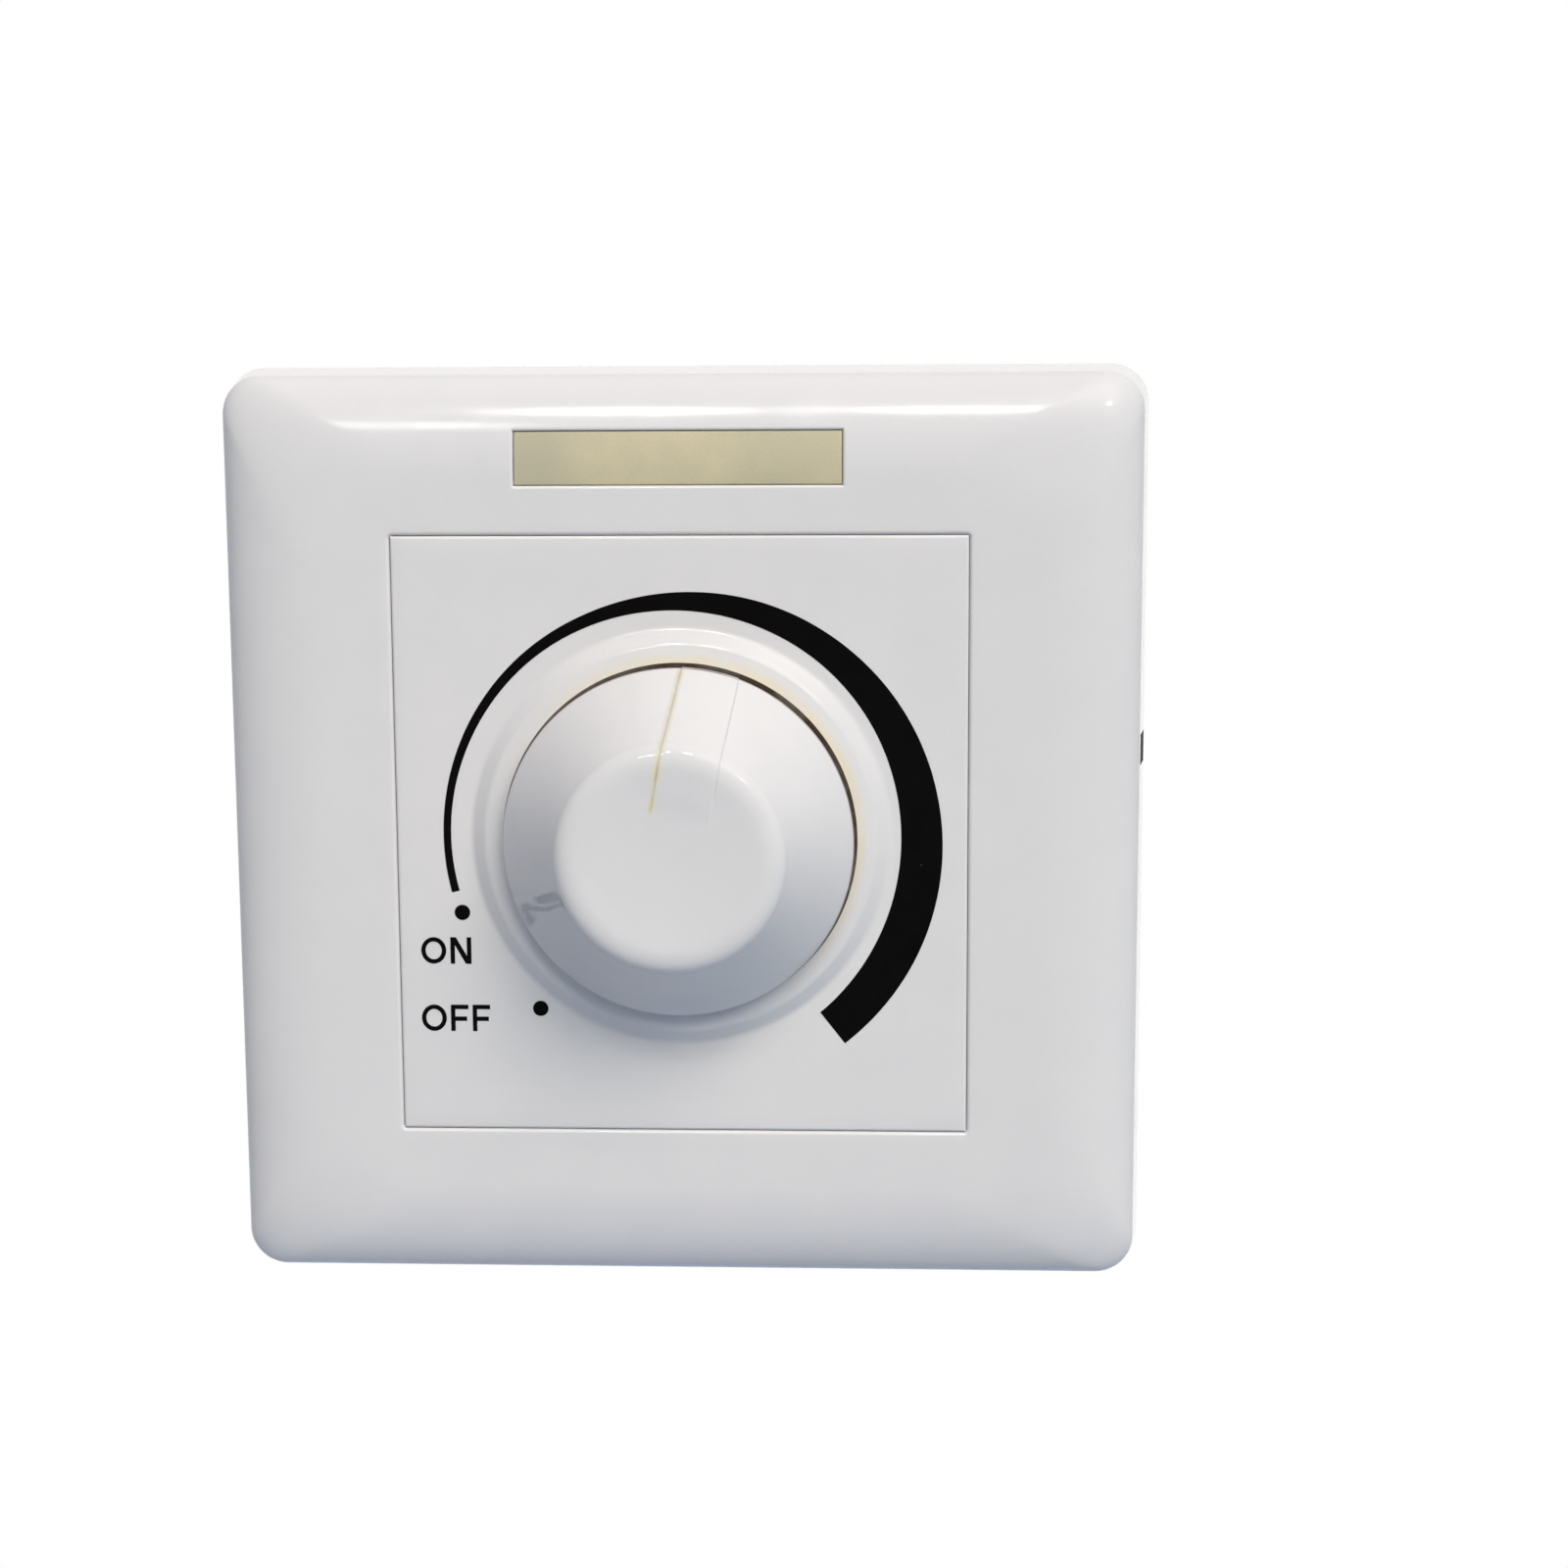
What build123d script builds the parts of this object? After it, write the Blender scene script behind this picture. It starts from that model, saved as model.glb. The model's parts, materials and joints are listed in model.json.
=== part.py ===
from build123d import *
from math import cos, hypot, radians, sin, sqrt
import os

# Rotary wall dimmer on a square cover plate.
# Every piece is drawn as it lies on a bench, face up: x to the right, y up the wall and
# z out of the wall, with the wall's surface at z = 0. stand_up() turns the finished piece
# upright, so the dimmer faces -Y with +Z up. Angles round the knob are clock angles:
# degrees clockwise from the top, seen from the front. Cutting shapes reach 1 mm past what
# they cut.

# Small values shared by many pieces
joint_overlap = 0.2
running_gap = 0.05
lead_in = 0.3

# Cover frame
plate_size = 86.0
plate_depth = 9.0
side_height = 5.0
side_lean = 0.8
corner_radius = 3.5
corner_growth = 7.5
pillow_width = 9.5
pillow_sections = 9
cover_wall = 1.8
skirt_wall = 1.3
pry_slot_length = 2.9
pry_slot_depth = 2.6
pry_slot_height = 7.6
snap_leg_width = 6.0
snap_leg_thickness = 1.4
snap_leg_inset = 7.4
snap_leg_y = 24.0
snap_barb = 0.9
snap_barb_height = 1.1
snap_play = 0.1
screw_head_room = 5.0

# Window and its glow strip
window_width = 29.8
window_height = 4.9
window_drop = 0.125
strip_gap = 0.12
strip_recess = 0.3
strip_thickness = 2.4
strip_flange = 0.9
strip_flange_thickness = 0.8
glue_line = 0.05

# Front panel, its collar ring and the knob's pocket
panel_width = 52.4
panel_height = 55.1
panel_gap = 0.2
panel_thickness = 2.0
panel_skirt_inset = 1.0
panel_skirt_wall = 1.2
edge_break = 0.25
collar_outer_radius = 19.3
collar_crown_radius = 17.9
collar_height = 2.6
collar_inner_height = 2.2
collar_shoulder_in = 0.28
collar_shoulder_up = 0.75
pocket_radius = 16.5
panel_hole_radius = 7.0
panel_clip_width = 5.0
panel_clip_x = 14.0

# Mounting yoke
yoke_clearance = 0.4
yoke_plate_back = 2.2
yoke_plate_thickness = 1.6
yoke_rim = 1.4
yoke_inner_corner = 1.0
wall_screw_spacing = 60.3
wall_screw_hole_radius = 2.25
wall_screw_slot_length = 7.5
screw_boss_wall = 1.6
yoke_screw_radius = 1.2
yoke_screw_length = 11.0
screw_clearance = 0.25
small_head_radius = 2.3
small_head_height = 1.5
driver_slot = 0.6
driver_slot_depth = 0.6
slot_clearance = 0.3

# Rear housing
housing_width = 48.0
housing_height = 50.0
housing_depth = 28.2
housing_wall = 1.8
housing_corner = 2.5
housing_edge_round = 1.0
housing_hole_gap = 0.3
post_radius = 2.8
post_inset = 1.6
pilot_gap = 0.05
pillar_radius = 2.6
pillar_inset = 3.4
pillar_y = -12.0
ledge_length = 7.0
ledge_reach = 2.0
ledge_y = 8.0

# Circuit board
board_thickness = 1.6
board_clearance = 0.4
board_level = -12.6
board_screw_radius = 1.0
board_screw_length = 7.0
board_head_radius = 2.0
board_head_height = 1.3
pin_hole_gap = 0.15
solder_reach = 0.8

# Potentiometer with switch
shaft_radius = 3.0
shaft_top = 19.4
shaft_flat_depth = 1.5
shaft_flat_length = 9.6
shaft_tail_radius = 2.0
bushing_radius = 3.5
bushing_length = 4.6
bushing_flange_radius = 6.0
bushing_flange_thickness = 1.0
sheet_thickness = 0.4
washer_thickness = 0.5
washer_radius = 5.6
washer_notch_count = 8
washer_notch_width = 0.8
washer_notch_depth = 0.6
nut_across_flats = 10.0
nut_height = 2.0
pot_radius = 8.2
pot_depth = 7.6
pot_edge_round = 0.6
track_radius = 7.6
track_thickness = 1.0
track_hole_gap = 0.6
track_flat_depth = 0.4
carrier_radius = 6.5
carrier_thickness = 1.2
carrier_level = -1.4
stop_inner_radius = 6.8
stop_half_angle = 20.0
lug_radius = 7.4
lug_half_angle = 17.5
wiper_thickness = 0.3
wiper_drop = 0.8
wiper_ring_radius = 5.0
wiper_ring_hole = 3.2
wiper_finger_width = 1.8
wiper_reach = 6.8
wiper_tip_radius = 0.8
pot_pin_pitch = 5.0
pin_width = 1.0
pin_thickness = 0.5
pin_reach = 1.4
pin_inner_reach = 4.4
pin_tail = 1.2
switch_depth = 6.0
switch_wall = 0.8
tail_clearance = 0.5
cam_gap = 0.4
cam_thickness = 1.4
cam_radius = 3.2
cam_lobe_radius = 4.6
cam_lobe_width = 1.8
leaf_gap = 0.3
leaf_thickness = 0.3
leaf_length = 9.0
leaf_height = 1.6
contact_gap = 0.05
contact_thickness = 0.5
contact_stud = 0.6
switch_pin_spread = 3.6

# Knob
knob_rim_radius = 16.1
knob_rim_height = 3.3
knob_skirt_bottom = 1.3
knob_top_radius = 10.3
knob_top_height = 12.5
knob_flare_bow = 0.45
knob_edge_round = 0.9
knob_dish = 0.3
knob_dish_shape = 0.75
knob_wall = 1.7
knob_rim_wall = 1.3
knob_rim_step = 0.6
knob_skirt_wall = 1.2
knob_boss_radius = 6.3
knob_boss_bottom = -0.8
knob_rib_count = 6
knob_rib_thickness = 1.0
knob_rib_rise = 3.5
shaft_end_gap = 0.3
pointer_width = 5.9
pointer_proud = 0.12
pointer_inner_end = 4.4
rest_pointer_clock = 10.5
off_clock = -142.0
clip_thickness = 0.4
clip_width = 4.2
clip_length = 7.5

# Terminal block
pole_count = 3
pole_pitch = 7.5
block_end_wall = 0.5
block_gap = 0.2
block_depth = 10.6
block_height = 9.8
clamp_cavity_width = 5.4
clamp_cavity_depth = 6.6
clamp_cavity_height = 6.4
clamp_gap = 0.15
block_floor = 1.2
wire_hole_radius = 1.8
wire_hole_offset = 0.9
clamp_way_step = 0.2
terminal_screw_radius = 1.25
terminal_head_radius = 1.9
terminal_head_height = 1.6
terminal_head_gap = 0.2
terminal_screw_lift = 0.6
terminal_screw_bite = 0.6
driver_hole_radius = 2.3
terminal_pin_radius = 0.5

# Board components
moulding_round = 0.5
triac_body_width = 10.2
triac_body_length = 9.0
triac_body_height = 4.5
triac_tab_length = 6.4
triac_tab_thickness = 1.3
triac_body_bottom_y = -6.0
triac_lead_pitch = 2.54
triac_lead_width = 0.8
triac_lead_reach = 2.4
heat_sink_width = 11.0
heat_sink_length = 16.6
heat_sink_thickness = 1.2
heat_sink_margin = 0.4
sink_screw_radius = 1.5
sink_nut_across_flats = 5.5
sink_nut_height = 2.4
sink_head_radius = 2.7
sink_head_height = 1.8
sink_thread_end = 0.6
choke_wall_gap = 1.8
choke_radius = 6.4
choke_height = 10.5
choke_flange = 1.4
choke_core_radius = 3.0
choke_winding_radius = 5.7
filter_x = 3.2
filter_wall_gap = 1.8
filter_width = 17.5
filter_depth = 6.0
filter_height = 12.0
timing_x = -13.6
timing_gap = 0.4
timing_width = 6.4
timing_depth = 3.0
timing_height = 7.0
lead_radius = 0.3
resistor_count = 3
resistor_y = -1.0
resistor_pitch = 3.4
resistor_radius = 1.15
resistor_length = 6.3
resistor_lead_span = 10.0
resistor_lift = 0.3
resistor_waist = 0.86
resistor_cap_share = 0.24
resistor_round = 0.2
diac_x = -13.2
diac_y = -8.8
diac_radius = 0.9
diac_length = 4.0
diac_lead_span = 7.6
diac_round = 0.36
fuse_radius = 2.5
fuse_length = 20.0
fuse_cap_length = 5.0
fuse_cap_wall = 0.2
fuse_lift = 4.2
clip_grip_length = 3.6
clip_sheet = 0.4
clip_fit = 0.02
clip_mouth = 3.5
clip_foot = 4.0

# Levels and places that follow from the sizes above
cover_underside = plate_depth - cover_wall
snap_leg_x = plate_size / 2 - snap_leg_inset
yoke_front = yoke_plate_back + yoke_plate_thickness
yoke_half = plate_size / 2 - cover_wall - side_lean * yoke_front / side_height - yoke_clearance
opening_width = panel_width + 2 * panel_gap
opening_height = panel_height + 2 * panel_gap
frame_band_low = opening_height / 2 + skirt_wall
frame_band_high = plate_size / 2 - side_lean - cover_wall
window_centre_y = (frame_band_low + frame_band_high) / 2 - window_drop
barb_top = yoke_plate_back - snap_play
barb_bottom = barb_top - snap_barb_height
panel_back = plate_depth - panel_thickness
panel_skirt_end = yoke_front + slot_clearance
panel_skirt_half_x = panel_width / 2 - panel_skirt_inset
panel_skirt_half_y = panel_height / 2 - panel_skirt_inset
housing_back = yoke_plate_back - housing_depth
housing_floor = housing_back + housing_wall
housing_inner_x = housing_width / 2 - housing_wall
housing_inner_y = housing_height / 2 - housing_wall
post_x = housing_inner_x - post_inset
post_y = housing_inner_y - post_inset
pillar_x = housing_inner_x - pillar_inset
board_back = board_level - board_thickness
pot_front = yoke_plate_back
pot_back = pot_front - pot_depth
switch_back = pot_back - switch_depth
pot_inner_radius = pot_radius - sheet_thickness
switch_inner_radius = pot_radius - switch_wall
carrier_bottom = carrier_level - carrier_thickness
track_top = carrier_bottom - wiper_drop - running_gap * 2
cam_top = pot_back - switch_wall - cam_gap
cam_bottom = cam_top - cam_thickness
leaf_x = cam_lobe_radius + leaf_gap
knob_turn_to_off = rest_pointer_clock - off_clock
shaft_flat_x = shaft_radius - shaft_flat_depth
block_near_y = -housing_inner_y + block_gap
block_centre_y = block_near_y + block_depth / 2
block_back = board_back - block_height
clamp_centre_level = board_back - block_floor - clamp_cavity_height / 2
wire_hole_level = clamp_centre_level + wire_hole_offset
aisle_x = (housing_inner_x + pot_radius) / 2
triac_x = aisle_x
resistor_x = -aisle_x - resistor_pitch * (resistor_count - 1) / 2
choke_x = choke_radius + choke_wall_gap - housing_inner_x
choke_y = (post_y + resistor_y + resistor_lead_span / 2) / 2
filter_y = housing_inner_y - filter_wall_gap - filter_depth / 2
timing_y = pillar_y - board_head_radius - timing_gap - timing_depth / 2
fuse_y = (block_centre_y - pot_radius - pin_reach) / 2
sink_top = board_level + heat_sink_thickness
triac_hole_y = triac_body_bottom_y + triac_body_length + triac_tab_length / 2
fuse_level = board_level + fuse_lift


def stand_up(shape):
    """Turn a bench drawing upright: its front (+z) faces -Y and its top (+y) faces +Z."""
    return Rot(X=90) * shape


def block(width, height, low, high, x=0.0, y=0.0):
    """A box of this width (x) and height (y), from one level to another."""
    return Pos(x, y, (low + high) / 2) * Box(width, height, high - low)


def rod(radius, low, high, x=0.0, y=0.0):
    """A round bar along z, from one level to another."""
    return Pos(x, y, (low + high) / 2) * Cylinder(radius, high - low)


def tube(outer, inner, low, high, x=0.0, y=0.0):
    return rod(outer, low, high, x, y) - rod(inner, low - 1, high + 1, x, y)


def soft_block(width, height, corner, low, high, x=0.0, y=0.0):
    """A box with rounded upright corners."""
    outline = Pos(x, y, low) * RectangleRounded(width, height, corner)
    return extrude(outline, high - low)


def bar_x(radius, start, end, y, z):
    """A round bar along x."""
    return Pos((start + end) / 2, y, z) * Rot(Y=90) * Cylinder(radius, end - start)


def bar_y(radius, start, end, x, z):
    """A round bar along y."""
    return Pos(x, (start + end) / 2, z) * Rot(X=90) * Cylinder(radius, end - start)


def sector(radius, clock, half_angle, low, high):
    """A wedge round the knob's axis, centred on a clock angle."""
    far = radius / cos(radians(half_angle)) + 1
    left = radians(clock - half_angle)
    right = radians(clock + half_angle)
    points = [(0, 0), (far * sin(left), far * cos(left)), (far * sin(right), far * cos(right))]
    wedge = extrude(Pos(0, 0, low) * make_face(Polyline(*points, close=True)), high - low)
    return wedge & rod(radius, low, high)


def hexagon(across_flats, low, high, x=0.0, y=0.0):
    outline = Pos(x, y, low) * RegularPolygon(across_flats / 2, 6, major_radius=False)
    return extrude(outline, high - low)


def slotted_head(radius, height, seat, x=0.0, y=0.0):
    """A screw head on its seat, with a driver slot across it."""
    head = rod(radius, seat, seat + height, x, y)
    head = fillet(head.faces().sort_by(Axis.Z)[-1].edges(), height / 3)
    floor = seat + height - driver_slot_depth
    return head - block(2 * radius + 1, driver_slot, floor, seat + height + 1, x, y)


def corners(x, y):
    return [(-x, -y), (-x, y), (x, -y), (x, y)]


def leaning_block(inset, low, high):
    """A square block whose sides lean in with the plate's side wall, this far inside it."""
    sections = []
    for level in (low, high):
        side = plate_size - 2 * inset - 2 * side_lean * level / side_height
        sections.append(Pos(0, 0, level) * RectangleRounded(side, side, corner_radius - inset))
    return loft(sections, ruled=True)


def cover_form():
    """The plate's outside as a solid.

    The side wall leans in to the side height. From there the front is a pillow whose
    profile is a quarter of an ellipse, and whose corners grow rounder towards the front."""
    rise = plate_depth - side_height
    rings = []
    for i in range(pillow_sections):
        angle = radians(90 * i / (pillow_sections - 1))
        inset = side_lean + pillow_width * (1 - cos(angle))
        side = plate_size - 2 * inset
        ring = RectangleRounded(side, side, corner_radius + corner_growth * (1 - cos(angle)))
        rings.append(Pos(0, 0, side_height + rise * sin(angle)) * ring)
    return leaning_block(0, 0, side_height) + loft(rings)


def cover_layer(upper, lower):
    """The layer between these two depths below the plate's front."""
    return Pos(0, 0, -upper) * outside - Pos(0, 0, -lower) * outside


def snap_leg(thickness, width, top, barb_side):
    """A straight leg down through the yoke, with a barb that catches behind its plate.

    Drawn at the origin with the barb towards +x; barb_side turns it round."""
    leg = block(thickness, width, barb_bottom, top)
    edge = thickness / 2
    root = edge - joint_overlap
    points = [(root, barb_bottom), (edge, barb_bottom), (edge + snap_barb, barb_top), (root, barb_top)]
    profile = make_face(Polyline(*points, close=True))
    barb = extrude(Rot(X=90) * profile, width / 2, both=True)
    return Rot(Z=barb_side) * (leg + barb)


def make_cover_frame():
    hollow = (Pos(0, 0, -cover_wall) * outside) & leaning_block(cover_wall, -1, plate_depth)
    frame = outside - hollow
    skirt_end = yoke_front + 2 * slot_clearance
    skirt_width = opening_width + 2 * skirt_wall
    skirt_height = opening_height + 2 * skirt_wall
    skirt = block(skirt_width, skirt_height, skirt_end, cover_underside + joint_overlap)
    # room beside the skirt for the heads of the wall screws
    head_room = wall_screw_slot_length + screw_head_room
    for side in (-1, 1):
        x = side * wall_screw_spacing / 2
        skirt -= block(head_room, head_room, skirt_end - 1, cover_underside, x)
    frame += skirt
    frame -= block(opening_width, opening_height, 0, plate_depth + 1)
    rim = Pos(0, 0, plate_depth - edge_break) * Rectangle(opening_width, opening_height)
    wide = 2 * edge_break
    lip = Pos(0, 0, plate_depth) * Rectangle(opening_width + wide, opening_height + wide)
    frame -= loft([rim, lip], ruled=True)
    frame -= block(window_width, window_height, side_height, plate_depth + 1, 0, window_centre_y)
    frame -= block(
        4 * cover_wall, pry_slot_length, -1, pry_slot_depth, plate_size / 2 - cover_wall, pry_slot_height
    )
    for x, y in corners(snap_leg_x, snap_leg_y):
        turn = 0 if x > 0 else 180
        leg = snap_leg(snap_leg_thickness, snap_leg_width, cover_underside + joint_overlap, turn)
        frame += Pos(x, y, 0) * leg
    return frame


def make_glow_strip():
    """A moulded strip that follows the plate's pillowed front, with a flange behind the window."""
    reach = block(
        window_width - 2 * strip_gap,
        window_height - 2 * strip_gap,
        side_height,
        plate_depth,
        0,
        window_centre_y,
    )
    face = cover_layer(strip_recess, strip_thickness) & reach
    seat = block(
        window_width + 2 * strip_flange,
        window_height + 2 * strip_flange,
        side_height - cover_wall,
        plate_depth,
        0,
        window_centre_y,
    )
    under = cover_wall + glue_line
    flange = cover_layer(under, under + strip_flange_thickness) & seat
    return face + flange


def make_collar():
    """The ring round the knob: a sloped outside, a round crown and a gentle fall to the pocket."""
    root = plate_depth - panel_thickness / 2
    base = (collar_outer_radius, root)
    foot = (collar_outer_radius, plate_depth)
    crown = (collar_crown_radius, plate_depth + collar_height)
    brim = (pocket_radius, plate_depth + collar_inner_height)
    bore = (pocket_radius, root)
    shoulder = (
        collar_outer_radius - collar_shoulder_in * (collar_outer_radius - collar_crown_radius),
        plate_depth + collar_shoulder_up * collar_height,
    )
    outline = [
        Line(base, foot),
        ThreePointArc(foot, shoulder, crown),
        Line(crown, brim),
        Line(brim, bore),
        Line(bore, base),
    ]
    profile = make_face(Curve() + outline)
    return revolve(Rot(X=90) * profile, Axis.Z)


def make_front_panel():
    panel = block(panel_width, panel_height, panel_back, plate_depth)
    panel = chamfer(panel.faces().sort_by(Axis.Z)[-1].edges(), edge_break)
    panel += make_collar()
    width = 2 * panel_skirt_half_x
    height = 2 * panel_skirt_half_y
    skirt = block(width, height, panel_skirt_end, panel_back)
    skirt -= block(
        width - 2 * panel_skirt_wall, height - 2 * panel_skirt_wall, panel_skirt_end - 1, panel_back + 1
    )
    # room for the heads of the yoke screws, where they come near the skirt
    head_top = yoke_front + small_head_height + slot_clearance
    for x, y in corners(post_x, post_y):
        skirt -= rod(small_head_radius + screw_clearance, panel_skirt_end - 1, head_top, x, y)
    panel += skirt
    for side in (-1, 1):
        for x in (-panel_clip_x, panel_clip_x):
            y = side * (panel_skirt_half_y - panel_skirt_wall / 2)
            clip = snap_leg(panel_skirt_wall, panel_clip_width, panel_back, side * 90)
            panel += Pos(x, y, 0) * clip
    return panel - rod(panel_hole_radius, 0, plate_depth + 1)


def make_mounting_yoke():
    side = 2 * yoke_half
    yoke = soft_block(side, side, corner_radius - cover_wall, 0, yoke_front)
    inner = side - 2 * yoke_rim
    yoke -= soft_block(inner, inner, yoke_inner_corner, -1, yoke_plate_back)
    for sign in (-1, 1):
        x = sign * wall_screw_spacing / 2
        boss_length = wall_screw_slot_length + 2 * screw_boss_wall
        boss_height = 2 * (wall_screw_hole_radius + screw_boss_wall)
        boss = Pos(x, 0, 0) * SlotOverall(boss_length, boss_height)
        yoke += extrude(boss, yoke_plate_back + joint_overlap)
        slot = Pos(x, 0, -1) * SlotOverall(wall_screw_slot_length, 2 * wall_screw_hole_radius)
        yoke -= extrude(slot, yoke_front + 2)
    yoke -= rod(bushing_radius + 2 * running_gap, 0, yoke_front + 1)
    for x, y in corners(post_x, post_y):
        yoke -= rod(yoke_screw_radius + screw_clearance, 0, yoke_front + 1, x, y)
    for x, y in corners(snap_leg_x, snap_leg_y):
        reach = 1 if x > 0 else -1
        slot_x = snap_leg_thickness + slot_clearance + snap_barb / 2
        middle = x + reach * (slot_x - snap_leg_thickness - slot_clearance) / 2
        yoke -= block(slot_x, snap_leg_width + 2 * slot_clearance, 0, yoke_front + 1, middle, y)
    for x, y in corners(panel_clip_x, panel_skirt_half_y - panel_skirt_wall / 2):
        reach = 1 if y > 0 else -1
        slot_y = panel_skirt_wall + slot_clearance + snap_barb / 2
        middle = y + reach * (slot_y - panel_skirt_wall - slot_clearance) / 2
        yoke -= block(panel_clip_width + 2 * slot_clearance, slot_y, 0, yoke_front + 1, x, middle)
    return yoke


def make_yoke_screws():
    screws = Part()
    for x, y in corners(post_x, post_y):
        shank = rod(yoke_screw_radius, yoke_front - yoke_screw_length, yoke_front, x, y)
        screws += shank + slotted_head(small_head_radius, small_head_height, yoke_front, x, y)
    return screws


def pole_positions():
    first = -pole_pitch * (pole_count - 1) / 2
    return [first + pole_pitch * i for i in range(pole_count)]


def make_rear_housing():
    shell = soft_block(housing_width, housing_height, housing_corner, housing_back, yoke_plate_back)
    shell = fillet(shell.faces().sort_by(Axis.Z)[0].edges(), housing_edge_round)
    shell -= block(2 * housing_inner_x, 2 * housing_inner_y, housing_floor, yoke_plate_back + 1)
    root = housing_floor - joint_overlap
    inside_x = housing_width - 2 * joint_overlap
    inside_y = housing_height - 2 * joint_overlap
    envelope = block(inside_x, inside_y, root, yoke_plate_back)
    for x, y in corners(post_x, post_y):
        shell += rod(post_radius, root, yoke_plate_back, x, y) & envelope
        depth = yoke_front - yoke_screw_length - 1
        shell -= rod(yoke_screw_radius + pilot_gap, depth, yoke_plate_back + 1, x, y)
    for side in (-1, 1):
        x = side * pillar_x
        shell += rod(pillar_radius, root, board_back, x, pillar_y)
        depth = board_level - board_screw_length - 1
        shell -= rod(board_screw_radius + pilot_gap, depth, board_back + 1, x, pillar_y)
        ledge_x = side * (housing_inner_x - ledge_reach / 2)
        shell += block(ledge_reach + 2 * joint_overlap, ledge_length, root, board_back, ledge_x, ledge_y)
    # room for the panel's clips, where they come near the housing's wall
    notch = panel_skirt_wall + snap_barb + 2 * slot_clearance
    notch_y = panel_skirt_half_y - panel_skirt_wall - slot_clearance + notch / 2
    notch_low = barb_bottom - slot_clearance
    for x, y in corners(panel_clip_x, notch_y):
        width = panel_clip_width + 2 * slot_clearance
        shell -= block(width, notch, notch_low, yoke_plate_back + 1, x, y)
    for x in pole_positions():
        shell -= rod(driver_hole_radius, housing_back - 1, housing_floor + 1, x, block_centre_y)
        near = -housing_height / 2 - 1
        radius = wire_hole_radius + housing_hole_gap
        shell -= bar_y(radius, near, near + housing_wall + 2, x, wire_hole_level)
    return shell


def make_circuit_board():
    width = 2 * (housing_inner_x - board_clearance)
    height = 2 * (housing_inner_y - board_clearance)
    board = block(width, height, board_back, board_level)
    for x, y in corners(post_x, post_y):
        board -= rod(post_radius + board_clearance, board_back - 1, board_level + 1, x, y)
    holes = [(side * pillar_x, pillar_y, board_screw_radius + screw_clearance) for side in (-1, 1)]
    holes.append((triac_x, triac_hole_y, sink_screw_radius + screw_clearance))
    wire = lead_radius + pin_hole_gap
    pin = sqrt(pin_width**2 + pin_thickness**2) / 2 + pin_hole_gap
    holes += [(x, block_centre_y, terminal_pin_radius + pin_hole_gap) for x in pole_positions()]
    holes += [(x, -pot_radius - pin_reach + pin_thickness / 2, pin) for x in pot_pin_positions()]
    holes += [(x, y, pin) for x, y in switch_pin_positions()]
    holes += [(x, triac_lead_y(), triac_lead_width) for x in triac_lead_positions()]
    for x in resistor_positions():
        holes += [(x, resistor_y + end * resistor_lead_span / 2, wire) for end in (-1, 1)]
    holes += [(diac_x + end * diac_lead_span / 2, diac_y, wire) for end in (-1, 1)]
    for x, y, radius in holes:
        board -= rod(radius, board_back - 1, board_level + 1, x, y)
    return board


def make_board_screws():
    screws = Part()
    for side in (-1, 1):
        x = side * pillar_x
        shank = rod(board_screw_radius, board_level - board_screw_length, board_level, x, pillar_y)
        screws += shank + slotted_head(board_head_radius, board_head_height, board_level, x, pillar_y)
    return screws


def make_pot_case():
    """A drawn cup, open at the back, with the inward dent that stops the carrier's lug."""
    cup = rod(pot_radius, pot_back, pot_front)
    cup = fillet(cup.faces().sort_by(Axis.Z)[-1].edges(), pot_edge_round)
    cup -= rod(pot_inner_radius, pot_back - 1, pot_front - sheet_thickness)
    cup -= rod(bushing_radius + running_gap, pot_back, pot_front + 1)
    reach = pot_inner_radius + sheet_thickness / 2
    stop = sector(reach, 180, stop_half_angle, carrier_bottom, carrier_level)
    stop -= rod(stop_inner_radius, carrier_bottom - 1, carrier_level + 1)
    return cup + stop


def make_pot_bushing():
    seat = pot_front - sheet_thickness
    bushing = rod(bushing_radius, seat - bushing_flange_thickness, pot_front + bushing_length)
    bushing = chamfer(bushing.faces().sort_by(Axis.Z)[-1].edges(), lead_in)
    bushing += rod(bushing_flange_radius, seat - bushing_flange_thickness, seat)
    low = seat - bushing_flange_thickness - 1
    return bushing - rod(shaft_radius + running_gap, low, pot_front + bushing_length + 1)


def make_pot_lock_washer():
    washer = tube(washer_radius, bushing_radius + running_gap, yoke_front, yoke_front + washer_thickness)
    for i in range(washer_notch_count):
        notch = block(
            washer_notch_width, 2 * washer_notch_depth, yoke_front - 1, yoke_front + 2, 0, washer_radius
        )
        washer -= Rot(Z=360 * i / washer_notch_count) * notch
    return washer


def make_pot_nut():
    seat = yoke_front + washer_thickness
    nut = hexagon(nut_across_flats, seat, seat + nut_height)
    return nut - rod(bushing_radius + running_gap, seat - 1, seat + nut_height + 1)


def make_pot_shaft():
    """The D shaft, with a thin tail that goes through the track to the switch cam."""
    shaft = rod(shaft_radius, carrier_bottom, shaft_top)
    shaft = chamfer(shaft.faces().sort_by(Axis.Z)[-1].edges(), lead_in)
    flat_start = shaft_top - shaft_flat_length
    cut_x = shaft_flat_x + shaft_radius
    shaft -= block(2 * shaft_radius, 4 * shaft_radius, flat_start, shaft_top + 1, cut_x)
    shaft += rod(shaft_tail_radius, cam_bottom, carrier_bottom + joint_overlap)
    return Rot(Z=-rest_pointer_clock) * shaft


def make_pot_wiper_carrier():
    disc = tube(carrier_radius, shaft_radius, carrier_bottom, carrier_level)
    lug = sector(lug_radius, rest_pointer_clock, lug_half_angle, carrier_bottom, carrier_level)
    return disc + (lug - rod(carrier_radius - joint_overlap, carrier_bottom - 1, carrier_level + 1))


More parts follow.
